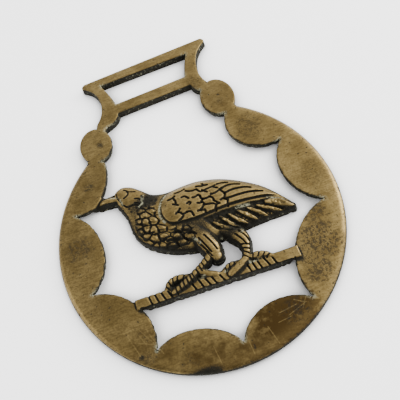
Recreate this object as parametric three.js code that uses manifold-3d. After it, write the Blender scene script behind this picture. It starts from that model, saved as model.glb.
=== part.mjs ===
// A cast horse brass: a flat ring with a scalloped opening, a slotted strap hanger on two beads,
// and a bird in relief that stands on a branch across the opening. It is one casting, lying on its
// back: the ring's centre is the origin, +Y runs to the hanger and +Z out of the face.
// All lengths are in millimetres and all angles in degrees.
import * as THREE from "three";
import { mergeVertices } from "three/addons/utils/BufferGeometryUtils.js";
import Module from "manifold-3d";

const wasm = await Module();
wasm.setup();

// Plate
const RING_RADIUS = 37.9;
const PLATE_THICKNESS = 2.4;
const WALL_DRAFT = 0.35; // how far the back stands out past the face
const BACK_LAND = 0.5; // height of the upright foot of every wall
const RIM_FOOT = 0.2; // how far the back of the rim stands out past its edge
const RIM_BEVEL_WIDTH = 1.7;
const RIM_BEVEL_DROP = 0.9;
const RIM_SHOULDER = { out: 0.7, down: 0.35 }; // where the rim's bevel bends, as shares of its size
const RIM_STEPS = 96;
const CURVE_STEPS = 8;

// Scallops, from the bead on the left round the bottom to the bead on the right. Each cusp has its
// bearing on the ring and its depth in from the rim. Each lobe is a curve that swells inwards from
// its chord, by the pull of a handle near each end.
const CUSPS = [
  { bearing: 124.9, depth: 4.8 },
  { bearing: 155.6, depth: 4.1 },
  { bearing: 196.5, depth: 5.4 },
  { bearing: 235.6, depth: 4.2 },
  { bearing: 271.8, depth: 5.1 },
  { bearing: 305.1, depth: 2.9 },
  { bearing: 349.7, depth: 4.5 },
  { bearing: 386.9, depth: 5.1 },
  { bearing: 418.3, depth: 3.9 },
];
const LOBE_PULLS = [
  [3.8, 7.4],
  [6.8, 8.2],
  [6.6, 7.4],
  [5.4, 5.6],
  [6.6, 5.6],
  [8.2, 7.4],
  [6.8, 7.2],
  [7.4, 8.4],
];
const LOBE_HANDLE = 0.22; // how far along its chord a lobe's handles stand, as a share

// Hanger, one record a side. x is measured out from the middle and y up from the top of the ring.
const HANGER = [
  {
    side: -1,
    tip: [19.1, 18.6],
    waist: [15.4, 9.8],
    neck: [18.3, 2.9],
    slotTop: [14.0, 16.8],
    slotLow: [11.0, 8.0],
    barLow: [11.2, 4.5],
    innerNeck: [15.7, 0.8],
    bead: { bearing: 120.7, out: 1.6, across: 4.8, along: 5.9 },
  },
  {
    side: 1,
    tip: [20.5, 20.4],
    waist: [15.7, 8.8],
    neck: [16.8, 4.6],
    slotTop: [14.4, 17.4],
    slotLow: [11.3, 8.9],
    barLow: [12.1, 5.3],
    innerNeck: [14.7, 1.7],
    bead: { bearing: 63.2, out: 2.1, across: 5.0, along: 6.5 },
  },
];
const TIP_RADIUS = 0.9;
// Shares that shape the hanger's curves
const LOW_FLARE_PULL = 0.45;
const HIGH_FLARE_PULL = 0.62;
const TIP_SLANT = 0.4;
const TIP_BULGE = 1.3;
const SHOULDER_PULL = [0.15, 0.3];

// Branch, from lobe to lobe; each end's depth is measured in from the rim
const BRANCH_LEFT = { depth: 17.1, y: -15.8, half: 1.2 };
const BRANCH_RIGHT = { depth: 16.7, y: -16.9, half: 1.4 };
const BRANCH_RISE = 0.6; // above the face
const BRANCH_DRAFT = 0.5;
const BRANCH_TOOTH = 2.2; // how far each end runs into its lobe
const NOTCH_WIDTH = 0.55;
const NOTCH_DEPTH = 0.5;
const NOTCH_LEAN = 0.7; // sideways run of a notch across the branch
const NOTCHES = [-17.3, -15.7, -14.1, -4.4, -3.2, -1.9, -0.7, 0.6, 1.9, 8.6, 9.8, 11.0, 12.3, 13.6, 15.0];

// Bird. Its lines are drawn round the place where its feet hold the branch. BIRD_LENGTH, from the
// forehead to the tip of the tail, scales them and the widths of its limbs.
const BIRD_LENGTH = 44.8;
const DRAWN_FEET = [0, -14.8];
const FEET_RISE = 1.1; // how high over the branch's middle line that place is
const FEET = [-0.1, (BRANCH_LEFT.y + BRANCH_RIGHT.y) / 2 + FEET_RISE];
const BODY_WALL_DROP = 0.9; // how far below the face the wall round the bird ends
const BODY_FULLNESS = 2.2; // 2 is an ellipse across the body, more is squarer
const BACK_LINE = [
  [-19.0, 16.2], [-18.3, 17.3], [-16.2, 18.1], [-13.6, 17.2], [-11.3, 15.2],
  [-8.8, 12.9], [-5.2, 11.9], [-1.0, 12.1], [3.5, 12.0], [8.5, 10.8],
  [12.5, 9.0], [16.5, 6.5], [19.8, 3.8], [22.8, 0.2], [25.8, -4.2],
];
const BELLY_LINE = [
  [-19.0, 14.2], [-18.8, 13.0], [-18.2, 11.5], [-17.4, 9.4], [-17.0, 7.0],
  [-16.8, 4.0], [-15.8, 1.0], [-13.6, -1.6], [-10.0, -4.1], [-5.7, -6.0],
  [-0.6, -7.0], [5.2, -6.2], [11.4, -5.5], [18.2, -5.2], [25.3, -5.3],
];
const BIRD_SCALE = BIRD_LENGTH / (BACK_LINE.at(-1)[0] - BACK_LINE[0][0]);
// Height of the body above the face, at each point of the two lines
const CREST = [0.2, 0.8, 1.1, 1.1, 0.9, 1.1, 1.5, 1.8, 2.0, 2.0, 1.8, 1.4, 1.0, 0.6, 0.0];
const BODY_SPANS = 22;
const BODY_ARCHES = 10;

// Wing, laid on the body's side
const WING_STEP = 0.7;
const WING_FADE = { least: 0.1, slope: 3 }; // the step's share at the back line, and its growth
const WING_SPANS = 18;
const WING_STRIPS = 6;
const WING_TOP = [
  [-7.6, 7.4], [-6.9, 9.3], [-5.3, 10.9], [-2.6, 11.8], [1.5, 11.9], [5.5, 11.4], [9.5, 10.2],
  [13.0, 8.5], [16.5, 6.3], [19.5, 3.8], [21.9, 0.8], [22.7, -0.3],
];
const WING_LOW = [
  [-8.05, 5.4], [-7.8, 3.4], [-6.4, 1.8], [-4.4, 0.9], [-1.0, 0.5], [3.0, 0.6], [7.5, 1.1],
  [11.0, 1.1], [15.0, 0.8], [18.5, 0.4], [21.4, -0.3], [22.4, -0.7],
];
// Long flight feathers: the line under each, from the coverts to the tip
const FLIGHT_LINES = [
  [[8.4, 8.2], [10.6, 8.9], [12.6, 8.6]],
  [[8.8, 6.5], [11.8, 7.2], [14.6, 6.8], [16.2, 6.0]],
  [[9.4, 4.8], [12.4, 5.4], [15.8, 5.1], [18.2, 4.3]],
  [[9.6, 2.9], [13.0, 3.2], [16.8, 2.9], [20.2, 2.1]],
];
const FLIGHT_WIDTH = 0.5;
const FLIGHT_DEPTH = 0.45;
// Covert feathers: rows of small curved nicks, each row at its x with its nicks' heights
const COVERT_ROWS = [
  { x: -4.3, ys: [9.0, 6.6, 4.2] },
  { x: -1.4, ys: [10.2, 8.0, 5.6, 2.8] },
  { x: 2.0, ys: [9.2, 7.0, 4.8, 2.4] },
  { x: 5.0, ys: [8.4, 6.2, 4.0, 2.2] },
  { x: 8.0, ys: [9.4, 7.2, 5.2, 3.2] },
];
const NICK_REACH = 0.9;
const NICK_SPREAD = 0.72; // half the nick's height
const NICK_WIDTH = 0.5;
const NICK_DEPTH = 0.4;

// Flank and tail feathers under the wing: where each starts and ends, and its half width
const FLANK_LIFT = 0.55;
const FLANK_BOW = 0.12; // how far a feather bows upwards, as a share of its length
const FLANK_STATIONS = [
  { share: 0, width: 0.5 },
  { share: 0.35, width: 1 },
  { share: 0.7, width: 1 },
  { share: 1, width: 0.6 },
];
const FLANK_FEATHERS = [
  { from: [4.4, -2.4], to: [8.2, -4.5], half: 0.5 },
  { from: [3.2, -1.0], to: [11.4, -4.6], half: 0.55 },
  { from: [6.0, -0.7], to: [14.2, -4.5], half: 0.55 },
  { from: [9.2, -0.7], to: [17.2, -4.5], half: 0.55 },
  { from: [12.4, -0.8], to: [20.0, -4.4], half: 0.5 },
  { from: [15.4, -1.0], to: [22.4, -4.4], half: 0.5 },
  { from: [18.2, -1.2], to: [24.6, -4.4], half: 0.65 },
];

// Breast scales: rows that follow the body's length, between the throat and the belly
const SCALE_ROWS = 8;
const SCALE_FIRST_STATION = 4.2;
const SCALE_LAST_STATION = 9.5;
const SCALES_IN_ROW = 4;
const SCALES_INNER = [0.3, 0.6]; // place across the body of the innermost scale, first and last row
const SCALES_OUTER = 0.94;
const SCALE_RADII = [1.15, 1.5]; // in the first and the last row
const SCALE_CROWN = 0.72; // width of a scale's top, as a share of its root
const SCALE_ROOT = 0.3; // depth of the root in the body
const SCALE_LIFT = 0.45; // height of the raised rear edge
const SCALE_TURN = 29; // how far the rear edge is turned up from the belly line
const SCALE_SIDES = 5;

// Legs and feet: each is a ridge through points, with its half width and rise above the face at each
const LIMBS = {
  nearThigh: {
    path: [[-1.0, -1.8], [0.3, -4.8], [1.5, -7.8], [2.0, -10.2]],
    half: [1.9, 2.6, 2.6, 1.8],
    rise: [2.0, 2.2, 1.8, 0.9],
  },
  nearShank: {
    path: [[1.0, -9.4], [-1.6, -11.1], [-3.6, -12.3], [-6.0, -13.7]],
    half: [1.1, 0.95, 0.95, 0.95],
    rise: [1.2, 1.1, 1.1, 1.3],
  },
  nearFrontToe: {
    path: [[-5.4, -13.5], [-8.0, -14.6], [-10.9, -15.7]],
    half: [0.95, 0.95, 0.7],
    rise: [1.5, 1.5, 1.2],
  },
  nearHumpToe: {
    path: [[-12.6, -14.4], [-11.2, -13.0], [-9.0, -12.5], [-6.2, -13.0]],
    half: [0.6, 0.95, 0.95, 0.7],
    rise: [0.5, 0.9, 1.0, 1.0],
  },
  nearHindToe: {
    path: [[-3.4, -12.7], [-1.6, -14.0], [0.5, -14.9]],
    half: [1.0, 1.0, 0.8],
    rise: [1.2, 1.1, 0.9],
  },
  farThigh: {
    path: [[6.4, -4.4], [8.6, -6.4], [9.7, -8.6], [9.7, -10.6]],
    half: [1.9, 2.3, 1.9, 1.3],
    rise: [1.2, 1.5, 1.3, 1.0],
  },
  farShank: {
    path: [[9.8, -9.8], [9.4, -12.0], [8.3, -14.0]],
    half: [1.25, 1.15, 1.0],
    rise: [1.1, 1.1, 1.3],
  },
  farFrontToe: {
    path: [[8.6, -13.8], [6.4, -15.0], [3.8, -16.2]],
    half: [0.95, 1.05, 0.9],
    rise: [1.5, 1.6, 1.4],
  },
  farInnerToe: {
    path: [[2.4, -14.7], [4.2, -14.0], [6.4, -14.1]],
    half: [0.55, 0.8, 0.7],
    rise: [0.7, 1.0, 1.1],
  },
  farHindToe: {
    path: [[9.6, -13.7], [11.6, -13.8], [13.5, -14.4], [14.8, -15.3]],
    half: [0.8, 0.95, 0.85, 0.6],
    rise: [1.1, 1.1, 1.0, 0.7],
  },
  // Webs that close the gaps between the toes and the branch, below the face
  nearSole: {
    path: [[-10.7, -14.0], [-9.1, -13.7], [-6.5, -13.7], [-2.9, -14.2]],
    half: [0.6, 0.7, 0.6, 0.6],
    rise: [-0.3, -0.3, -0.3, -0.3],
  },
  farSole: {
    path: [[8.6, -14.2], [9.6, -14.3], [10.8, -14.4]],
    half: [0.6, 0.6, 0.6],
    rise: [-0.3, -0.3, -0.3],
  },
};
// Feather lines cut down the thighs
const THIGH_LINES = [
  { on: "nearThigh", line: [[-0.8, -4.4], [0.1, -7.2], [0.9, -9.9]] },
  { on: "nearThigh", line: [[0.5, -4.0], [1.5, -6.8], [2.1, -9.6]] },
  { on: "nearThigh", line: [[1.9, -3.6], [2.8, -6.2], [3.3, -8.8]] },
  { on: "farThigh", line: [[7.4, -6.2], [8.6, -8.0], [9.1, -10.2]] },
  { on: "farThigh", line: [[8.8, -5.4], [10.2, -7.4], [10.6, -9.6]] },
];
const THIGH_LINE_WIDTH = 0.45;
const THIGH_LINE_DEPTH = 0.45;

// Head
const BEAK_HALF = 0.8;
const BEAK_TAPER = [1.2, 1, 0.9, 0.7]; // its width from the head to the lobe, as shares
const BEAK_MIDDLE = 0.6; // where the beak starts to slope down, as a share of its length
const BEAK_RISE = 0.5; // above the face
const BEAK_BASE = [-18.2, 14.8];
const BEAK_PLACE = 0.66; // where the beak touches the first lobe's edge, as a share of the edge
const BEAK_REACH = 2.4; // how far the beak runs into that lobe
const WEB_BASE = [-17.8, 15.8]; // thin casting web over the beak
const WEB_HALF = 1.6;
const WEB_DROP = 0.7; // below the face
const EYE = { at: [-15.0, 15.9], radius: 0.62, stand: 0.6 }; // stand: how far it stands out
const HEAD_LINES = [
  [[-18.3, 17.0], [-18.0, 15.2], [-18.1, 13.2]],
  [[-16.4, 16.9], [-15.9, 15.4], [-17.0, 14.4]],
  [[-17.2, 12.2], [-14.6, 11.4], [-12.2, 12.4], [-11.6, 14.0]],
];
const HEAD_LINE_WIDTH = 0.45;
const HEAD_LINE_DEPTH = 0.4;

const ROUNDNESS = 0.8; // height of a ridge's round top, as a share of its half width
const RIDGE_FOOT = 1.1; // how much wider a ridge is at its foot
const SINK = 1.0; // height over the back of a raised detail's root
const LEAST_WALL = 0.1; // least height of the upright side of a ridge
const GROOVE_CLEAR = 0.3; // how far a groove's cutter stands out of the surface it follows
const HALVINGS = 24; // rounds of halving when a place on the body is looked for

// Turns a closed geometry into a solid, with its faces pointing out.
function solid(geometry) {
  const bare = geometry.index ? geometry.toNonIndexed() : geometry.clone();
  bare.deleteAttribute("normal");
  bare.deleteAttribute("uv");
  const merged = mergeVertices(bare, 1e-4);
  const triVerts = new Uint32Array(merged.index.array);
  const vertProperties = new Float32Array(merged.attributes.position.array);
  const made = new wasm.Manifold(new wasm.Mesh({ numProp: 3, vertProperties, triVerts }));
  if (made.volume() >= 0) return made;
  for (let i = 0; i < triVerts.length; i += 3) {
    [triVerts[i + 1], triVerts[i + 2]] = [triVerts[i + 2], triVerts[i + 1]];
  }
  return new wasm.Manifold(new wasm.Mesh({ numProp: 3, vertProperties, triVerts }));
}

// Skins closed loops of the same count of points, one after the other, and closes both ends.
function loft(loops) {
  const count = loops[0].length;
  const index = [];
  for (let i = 0; i + 1 < loops.length; i++) {
    for (let j = 0; j < count; j++) {
      const a = i * count + j;
      const b = i * count + ((j + 1) % count);
      index.push(a, b, b + count, a, b + count, a + count);
    }
  }
  const last = (loops.length - 1) * count;
  for (let j = 1; j + 1 < count; j++) {
    index.push(0, j + 1, j, last, last + j, last + j + 1);
  }
  const geometry = new THREE.BufferGeometry();
  geometry.setFromPoints(loops.flat());
  geometry.setIndex(index);
  return solid(geometry);
}

// Reads a list of numbers as a smooth line, at a place counted in its own steps.
function alongList(list, place) {
  const line = new THREE.SplineCurve(list.map((value, i) => new THREE.Vector2(i, value)));
  return line.getPoint(place / (list.length - 1)).y;
}

// Extrudes an outline from the back to the face, with the wall leaning out towards the back.
function draftedPlate(shape) {
  const plate = new THREE.ExtrudeGeometry(shape, {
    depth: BACK_LAND,
    bevelThickness: PLATE_THICKNESS - BACK_LAND,
    bevelSize: WALL_DRAFT,
    bevelSegments: 1,
    curveSegments: CURVE_STEPS,
  });
  const under = new THREE.BoxGeometry(4 * RING_RADIUS, 4 * RING_RADIUS, PLATE_THICKNESS);
  under.translate(0, 0, -PLATE_THICKNESS / 2);
  return solid(plate).subtract(solid(under));
}

function polar(radius, bearing) {
  const angle = THREE.MathUtils.degToRad(bearing);
  return new THREE.Vector2(radius * Math.cos(angle), radius * Math.sin(angle));
}

// The inner edge of one lobe, from cusp to cusp.
function lobeEdge(index) {
  const [start, end] = [CUSPS[index], CUSPS[index + 1]].map(({ bearing, depth }) =>
    polar(RING_RADIUS - depth, bearing),
  );
  const [startPull, endPull] = LOBE_PULLS[index];
  const along = end.clone().sub(start);
  const inward = new THREE.Vector2(-along.y, along.x).normalize();
  const first = start.clone().addScaledVector(along, LOBE_HANDLE).addScaledVector(inward, startPull);
  const second = end.clone().addScaledVector(along, -LOBE_HANDLE).addScaledVector(inward, endPull);
  return new THREE.CubicBezierCurve(start, first, second, end);
}

// The band that holds the row of lobes. It runs out past the rim, whose round edge trims it.
function bandShape() {
  const shape = new THREE.Shape();
  shape.curves = LOBE_PULLS.map((_, index) => lobeEdge(index));
  shape.currentPoint.copy(shape.curves.at(-1).v3);
  for (const { bearing } of [...CUSPS].reverse()) {
    const outside = polar(2 * RING_RADIUS, bearing);
    shape.lineTo(outside.x, outside.y);
  }
  return shape;
}

// The whole disc of the ring, turned, with its rounded front edge.
function rimDisc() {
  const edge = RING_RADIUS - RIM_BEVEL_WIDTH;
  const profile = [
    [0, 0],
    [RING_RADIUS + RIM_FOOT, 0],
    [RING_RADIUS + RIM_FOOT, BACK_LAND],
    [RING_RADIUS, PLATE_THICKNESS - RIM_BEVEL_DROP],
    [edge + RIM_BEVEL_WIDTH * RIM_SHOULDER.out, PLATE_THICKNESS - RIM_BEVEL_DROP * RIM_SHOULDER.down],
    [edge, PLATE_THICKNESS],
    [0, PLATE_THICKNESS],
  ];
  const disc = new THREE.LatheGeometry(profile.map(([x, y]) => new THREE.Vector2(x, y)), RIM_STEPS);
  disc.rotateX(Math.PI / 2);
  return solid(disc);
}

function hangerPoint(record, name) {
  const [x, y] = record[name];
  return new THREE.Vector2(record.side * x, RING_RADIUS + y);
}

const beadCentre = ({ bead: { bearing, out } }) => polar(RING_RADIUS + out, bearing);

// A bead: an oval boss between the ring's end and the hanger.
function bead(record) {
  const centre = beadCentre(record);
  const shape = new THREE.Shape();
  shape.absellipse(centre.x, centre.y, record.bead.across, record.bead.along, 0, 2 * Math.PI, false);
  return draftedPlate(shape);
}

// The hanger: two flared sides joined by a bar under and a bar over the strap slot.
function hangerShape() {
  const [left, right] = HANGER;
  const shape = new THREE.Shape();
  const lineTo = ({ x, y }) => shape.lineTo(x, y);
  const start = hangerPoint(left, "innerNeck");
  shape.moveTo(start.x, start.y);
  lineTo(beadCentre(left));
  lineTo(hangerPoint(left, "neck"));
  flare(shape, left, true);
  flare(shape, right, false);
  lineTo(beadCentre(right));
  lineTo(hangerPoint(right, "innerNeck"));
  innerNeckCurve(shape, right, "barLow");
  lineTo(hangerPoint(left, "barLow"));
  innerNeckCurve(shape, left, "innerNeck");
  shape.holes.push(strapSlot(left, right));
  return shape;
}

// One flared side with its rounded tip, drawn upwards on the left and downwards on the right.
function flare(shape, record, upwards) {
  const neck = hangerPoint(record, "neck");
  const waist = hangerPoint(record, "waist");
  const tip = hangerPoint(record, "tip");
  const side = record.side;
  const slant = side * TIP_RADIUS * TIP_SLANT;
  const under = new THREE.Vector2(tip.x + slant, tip.y - TIP_RADIUS);
  const over = new THREE.Vector2(tip.x - slant, tip.y + TIP_RADIUS);
  const outside = new THREE.Vector2(tip.x + side * TIP_RADIUS * TIP_BULGE, tip.y);
  const lowPull = new THREE.Vector2(waist.x, THREE.MathUtils.lerp(neck.y, waist.y, LOW_FLARE_PULL));
  const highPull = new THREE.Vector2(waist.x, THREE.MathUtils.lerp(waist.y, tip.y, HIGH_FLARE_PULL));
  if (upwards) {
    shape.quadraticCurveTo(lowPull.x, lowPull.y, waist.x, waist.y);
    shape.quadraticCurveTo(highPull.x, highPull.y, under.x, under.y);
    shape.quadraticCurveTo(outside.x, outside.y, over.x, over.y);
  } else {
    shape.lineTo(over.x, over.y);
    shape.quadraticCurveTo(outside.x, outside.y, under.x, under.y);
    shape.quadraticCurveTo(highPull.x, highPull.y, waist.x, waist.y);
    shape.quadraticCurveTo(lowPull.x, lowPull.y, neck.x, neck.y);
  }
}

// The rounded shoulder between the lower bar and the bead, drawn to the end that is named.
function innerNeckCurve(shape, record, end) {
  const low = hangerPoint(record, "innerNeck");
  const high = hangerPoint(record, "barLow");
  const pull = new THREE.Vector2(
    THREE.MathUtils.lerp(high.x, low.x, SHOULDER_PULL[0]),
    THREE.MathUtils.lerp(low.y, high.y, SHOULDER_PULL[1]),
  );
  const goal = end === "barLow" ? high : low;
  shape.quadraticCurveTo(pull.x, pull.y, goal.x, goal.y);
}

// The slot for the strap, drawn the other way round from the outline it is a hole in.
function strapSlot(left, right) {
  const slot = new THREE.Path();
  const [leftLow, leftTop] = [hangerPoint(left, "slotLow"), hangerPoint(left, "slotTop")];
  const [rightLow, rightTop] = [hangerPoint(right, "slotLow"), hangerPoint(right, "slotTop")];
  const bow = (low, top) => new THREE.Vector2((top.x + 2 * low.x) / 3, (top.y + low.y) / 2);
  const rightBow = bow(rightLow, rightTop);
  const leftBow = bow(leftLow, leftTop);
  slot.moveTo(rightLow.x, rightLow.y);
  slot.quadraticCurveTo(rightBow.x, rightBow.y, rightTop.x, rightTop.y);
  slot.lineTo(leftTop.x, leftTop.y);
  slot.quadraticCurveTo(leftBow.x, leftBow.y, leftLow.x, leftLow.y);
  return slot;
}

const branchEnd = ({ depth, y }, side) => new THREE.Vector2(side * (RING_RADIUS - depth), y);

// A cut through the branch at a point of its middle line.
function branchSection(at, half, top) {
  const corner = BRANCH_DRAFT / 2;
  return [
    new THREE.Vector3(at.x, at.y - half - BRANCH_DRAFT, 0),
    new THREE.Vector3(at.x, at.y - half, top - corner),
    new THREE.Vector3(at.x, at.y - half + corner, top),
    new THREE.Vector3(at.x, at.y + half - corner, top),
    new THREE.Vector3(at.x, at.y + half, top - corner),
    new THREE.Vector3(at.x, at.y + half + BRANCH_DRAFT, 0),
  ];
}

// The branch: a bar with sloping sides, and a lower bar that roots both its ends in the lobes.
function branch() {
  const left = branchEnd(BRANCH_LEFT, -1);
  const right = branchEnd(BRANCH_RIGHT, 1);
  const tooth = right.clone().sub(left).setLength(BRANCH_TOOTH);
  const top = PLATE_THICKNESS + BRANCH_RISE;
  const rootTop = PLATE_THICKNESS - BACK_LAND;
  const bar = loft([
    branchSection(left, BRANCH_LEFT.half, top),
    branchSection(right, BRANCH_RIGHT.half, top),
  ]);
  const roots = loft([
    branchSection(left.clone().sub(tooth), BRANCH_LEFT.half, rootTop),
    branchSection(right.clone().add(tooth), BRANCH_RIGHT.half, rootTop),
  ]);
  return bar.add(roots);
}

// Where a drawn point of the bird stands on the brass.
function birdPoint([x, y]) {
  return new THREE.Vector2(
    FEET[0] + (x - DRAWN_FEET[0]) * BIRD_SCALE,
    FEET[1] + (y - DRAWN_FEET[1]) * BIRD_SCALE,
  );
}

const backLine = new THREE.SplineCurve(BACK_LINE.map(birdPoint));
const bellyLine = new THREE.SplineCurve(BELLY_LINE.map(birdPoint));
const STATIONS = BACK_LINE.length - 1;

// Height of the round body at a place across it, from 0 at the back line to 1 at the belly line.
function archHeight(station, across) {
  const crest = PLATE_THICKNESS + alongList(CREST, station);
  const arch = (1 - Math.abs(2 * across - 1) ** BODY_FULLNESS) ** (1 / BODY_FULLNESS);
  return THREE.MathUtils.lerp(PLATE_THICKNESS - BODY_WALL_DROP, crest, arch);
}

// The body's station and place across it under a point, found by halving.
function bodyPlace(point) {
  const side = (t) => {
    const back = backLine.getPoint(t);
    const across = bellyLine.getPoint(t).sub(back);
    return across.cross(point.clone().sub(back));
  };
  let [low, high] = [0, 1];
  const sign = Math.sign(side(low)) || 1;
  for (let i = 0; i < HALVINGS; i++) {
    const middle = (low + high) / 2;
    if (Math.sign(side(middle)) === sign) low = middle;
    else high = middle;
  }
  const back = backLine.getPoint(low);
  const across = bellyLine.getPoint(low).sub(back);
  const share = point.clone().sub(back).dot(across) / across.lengthSq();
  return { station: low * STATIONS, across: THREE.MathUtils.clamp(share, 0, 1) };
}

function bodyHeight(point) {
  const { station, across } = bodyPlace(point);
  return archHeight(station, across);
}

// The body, from the forehead to the tip of the tail: arches sprung between its two edge lines.
function body() {
  const loops = [];
  for (let i = 0; i <= BODY_SPANS; i++) {
    const t = i / BODY_SPANS;
    const back = backLine.getPoint(t);
    const belly = bellyLine.getPoint(t);
    const out = back.clone().sub(belly).normalize().multiplyScalar(WALL_DRAFT);
    const loop = [new THREE.Vector3(back.x + out.x, back.y + out.y, 0)];
    for (let j = 0; j <= BODY_ARCHES; j++) {
      const across = (1 - Math.cos((Math.PI * j) / BODY_ARCHES)) / 2;
      const point = back.clone().lerp(belly, across);
      loop.push(new THREE.Vector3(point.x, point.y, archHeight(t * STATIONS, across)));
    }
    loop.push(new THREE.Vector3(belly.x - out.x, belly.y - out.y, 0));
    loops.push(loop);
  }
  return loft(loops);
}

// The wing: the body's own surface lifted by a step that dies away towards the back line.
function wing() {
  const topLine = new THREE.SplineCurve(WING_TOP.map(birdPoint));
  const lowLine = new THREE.SplineCurve(WING_LOW.map(birdPoint));
  const loops = [];
  for (let i = 0; i <= WING_SPANS; i++) {
    const top = topLine.getPoint(i / WING_SPANS);
    const low = lowLine.getPoint(i / WING_SPANS);
    const loop = [new THREE.Vector3(top.x, top.y, SINK)];
    for (let j = 0; j <= WING_STRIPS; j++) {
      const across = j / WING_STRIPS;
      const point = top.clone().lerp(low, across);
      const lift = WING_STEP * Math.min(1, WING_FADE.least + WING_FADE.slope * across);
      loop.push(new THREE.Vector3(point.x, point.y, bodyHeight(point) + lift));
    }
    loop.push(new THREE.Vector3(low.x, low.y, SINK));
    loops.push(loop);
  }
  return loft(loops);
}

// A rounded ridge through plan points, with a half width and a top height at each, down to a base.
function ridge(points, halves, tops, base, arches) {
  const line = new THREE.SplineCurve(points);
  const spans = 2 * (points.length - 1);
  const loops = [];
  for (let i = 0; i <= spans; i++) {
    const t = i / spans;
    const place = t * (points.length - 1);
    const centre = line.getPoint(t);
    const along = line.getTangent(t);
    const side = new THREE.Vector2(-along.y, along.x);
    const half = alongList(halves, place);
    const top = alongList(tops, place);
    const shoulder = Math.max(base + LEAST_WALL, top - ROUNDNESS * half);
    const point = (offset, z) =>
      new THREE.Vector3(centre.x + side.x * offset, centre.y + side.y * offset, z);
    const loop = [point(half * RIDGE_FOOT, base)];
    for (let j = 0; j <= arches; j++) {
      const angle = (Math.PI * j) / arches;
      loop.push(point(half * Math.cos(angle), shoulder + (top - shoulder) * Math.sin(angle)));
    }
    loop.push(point(-half * RIDGE_FOOT, base));
    loops.push(loop);
  }
  return loft(loops);
}

// A groove of V section that follows the surface under its plan points.
function groove(points, width, depth, heightAt) {
  const line = new THREE.SplineCurve(points);
  const spans = points.length - 1;
  const half = (width / 2) * (1 + GROOVE_CLEAR / depth);
  const loops = [];
  for (let i = 0; i <= spans; i++) {
    const centre = line.getPoint(i / spans);
    const along = line.getTangent(i / spans);
    const z = heightAt(centre);
    loops.push([
      new THREE.Vector3(centre.x, centre.y, z - depth),
      new THREE.Vector3(centre.x - along.y * half, centre.y + along.x * half, z + GROOVE_CLEAR),
      new THREE.Vector3(centre.x + along.y * half, centre.y - along.x * half, z + GROOVE_CLEAR),
    ]);
  }
  return loft(loops);
}

const wingHeight = (point) => bodyHeight(point) + WING_STEP;

function wingCuts() {
  const cuts = FLIGHT_LINES.map((points) =>
    groove(points.map(birdPoint), FLIGHT_WIDTH, FLIGHT_DEPTH, wingHeight),
  );
  for (const { x, ys } of COVERT_ROWS) {
    for (const y of ys) {
      const nick = [[x - NICK_REACH, y + NICK_SPREAD], [x, y], [x - NICK_REACH, y - NICK_SPREAD]];
      cuts.push(groove(nick.map(birdPoint), NICK_WIDTH, NICK_DEPTH, wingHeight));
    }
  }
  return cuts;
}

// A feather of the flank or tail: a low ridge that leans down and back, narrow at both ends.
function flankFeather({ from, to, half }) {
  const start = birdPoint(from);
  const end = birdPoint(to);
  const up = new THREE.Vector2(start.y - end.y, end.x - start.x).normalize();
  const points = FLANK_STATIONS.map(({ share }) => {
    const bow = FLANK_BOW * start.distanceTo(end) * Math.sin(Math.PI * share);
    return start.clone().lerp(end, share).addScaledVector(up, bow);
  });
  const halves = FLANK_STATIONS.map(({ width }) => half * width * BIRD_SCALE);
  const tops = points.map((point) => bodyHeight(point) + FLANK_LIFT);
  return ridge(points, halves, tops, SINK, 2);
}

// A scale on the breast: a low boss, flush with the body in front and raised at its rear edge.
function breastScale(centre, radius, rearward) {
  const height = bodyHeight(centre);
  const ring = (reach, lift) =>
    Array.from({ length: SCALE_SIDES }, (_, i) => {
      const angle = rearward + (2 * Math.PI * (i + 0.5)) / SCALE_SIDES;
      const rise = lift * (1 + Math.cos(angle - rearward));
      const [x, y] = [centre.x + reach * Math.cos(angle), centre.y + reach * Math.sin(angle)];
      return new THREE.Vector3(x, y, height - SCALE_ROOT + rise);
    });
  return loft([ring(radius, 0), ring(radius * SCALE_CROWN, (SCALE_ROOT + SCALE_LIFT) / 2)]);
}

function breastScales() {
  const scales = [];
  for (let row = 0; row < SCALE_ROWS; row++) {
    const share = row / (SCALE_ROWS - 1);
    const station = SCALE_FIRST_STATION + (SCALE_LAST_STATION - SCALE_FIRST_STATION) * share;
    const back = backLine.getPoint(station / STATIONS);
    const belly = bellyLine.getPoint(station / STATIONS);
    const turn = THREE.MathUtils.degToRad(SCALE_TURN);
    const rearward = bellyLine.getTangent(station / STATIONS).angle() + turn;
    const inner = THREE.MathUtils.lerp(SCALES_INNER[0], SCALES_INNER[1], share);
    const radius = THREE.MathUtils.lerp(SCALE_RADII[0], SCALE_RADII[1], share) * BIRD_SCALE;
    for (let i = 0; i < SCALES_IN_ROW; i++) {
      const across = inner + ((SCALES_OUTER - inner) * (i + (row % 2) * 0.5)) / SCALES_IN_ROW;
      scales.push(breastScale(back.clone().lerp(belly, across), radius, rearward));
    }
  }
  return scales;
}

function limb({ path, half, rise }) {
  const halves = half.map((width) => width * BIRD_SCALE);
  const tops = rise.map((height) => PLATE_THICKNESS + height);
  return ridge(path.map(birdPoint), halves, tops, 0, 3);
}

// Height of a limb's round top over a point near its middle line.
function limbHeight(point, { path, half, rise }) {
  const line = new THREE.SplineCurve(path.map(birdPoint));
  const checks = 24;
  let nearest = { distance: Infinity, height: 0 };
  for (let i = 0; i <= checks; i++) {
    const distance = line.getPoint(i / checks).distanceTo(point);
    const place = (i / checks) * (path.length - 1);
    const width = alongList(half, place) * BIRD_SCALE;
    const share = Math.min(1, distance / width);
    const top = PLATE_THICKNESS + alongList(rise, place);
    const height = top - ROUNDNESS * width * (1 - Math.sqrt(1 - share * share));
    if (distance < nearest.distance) nearest = { distance, height };
  }
  return nearest.height;
}

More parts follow.
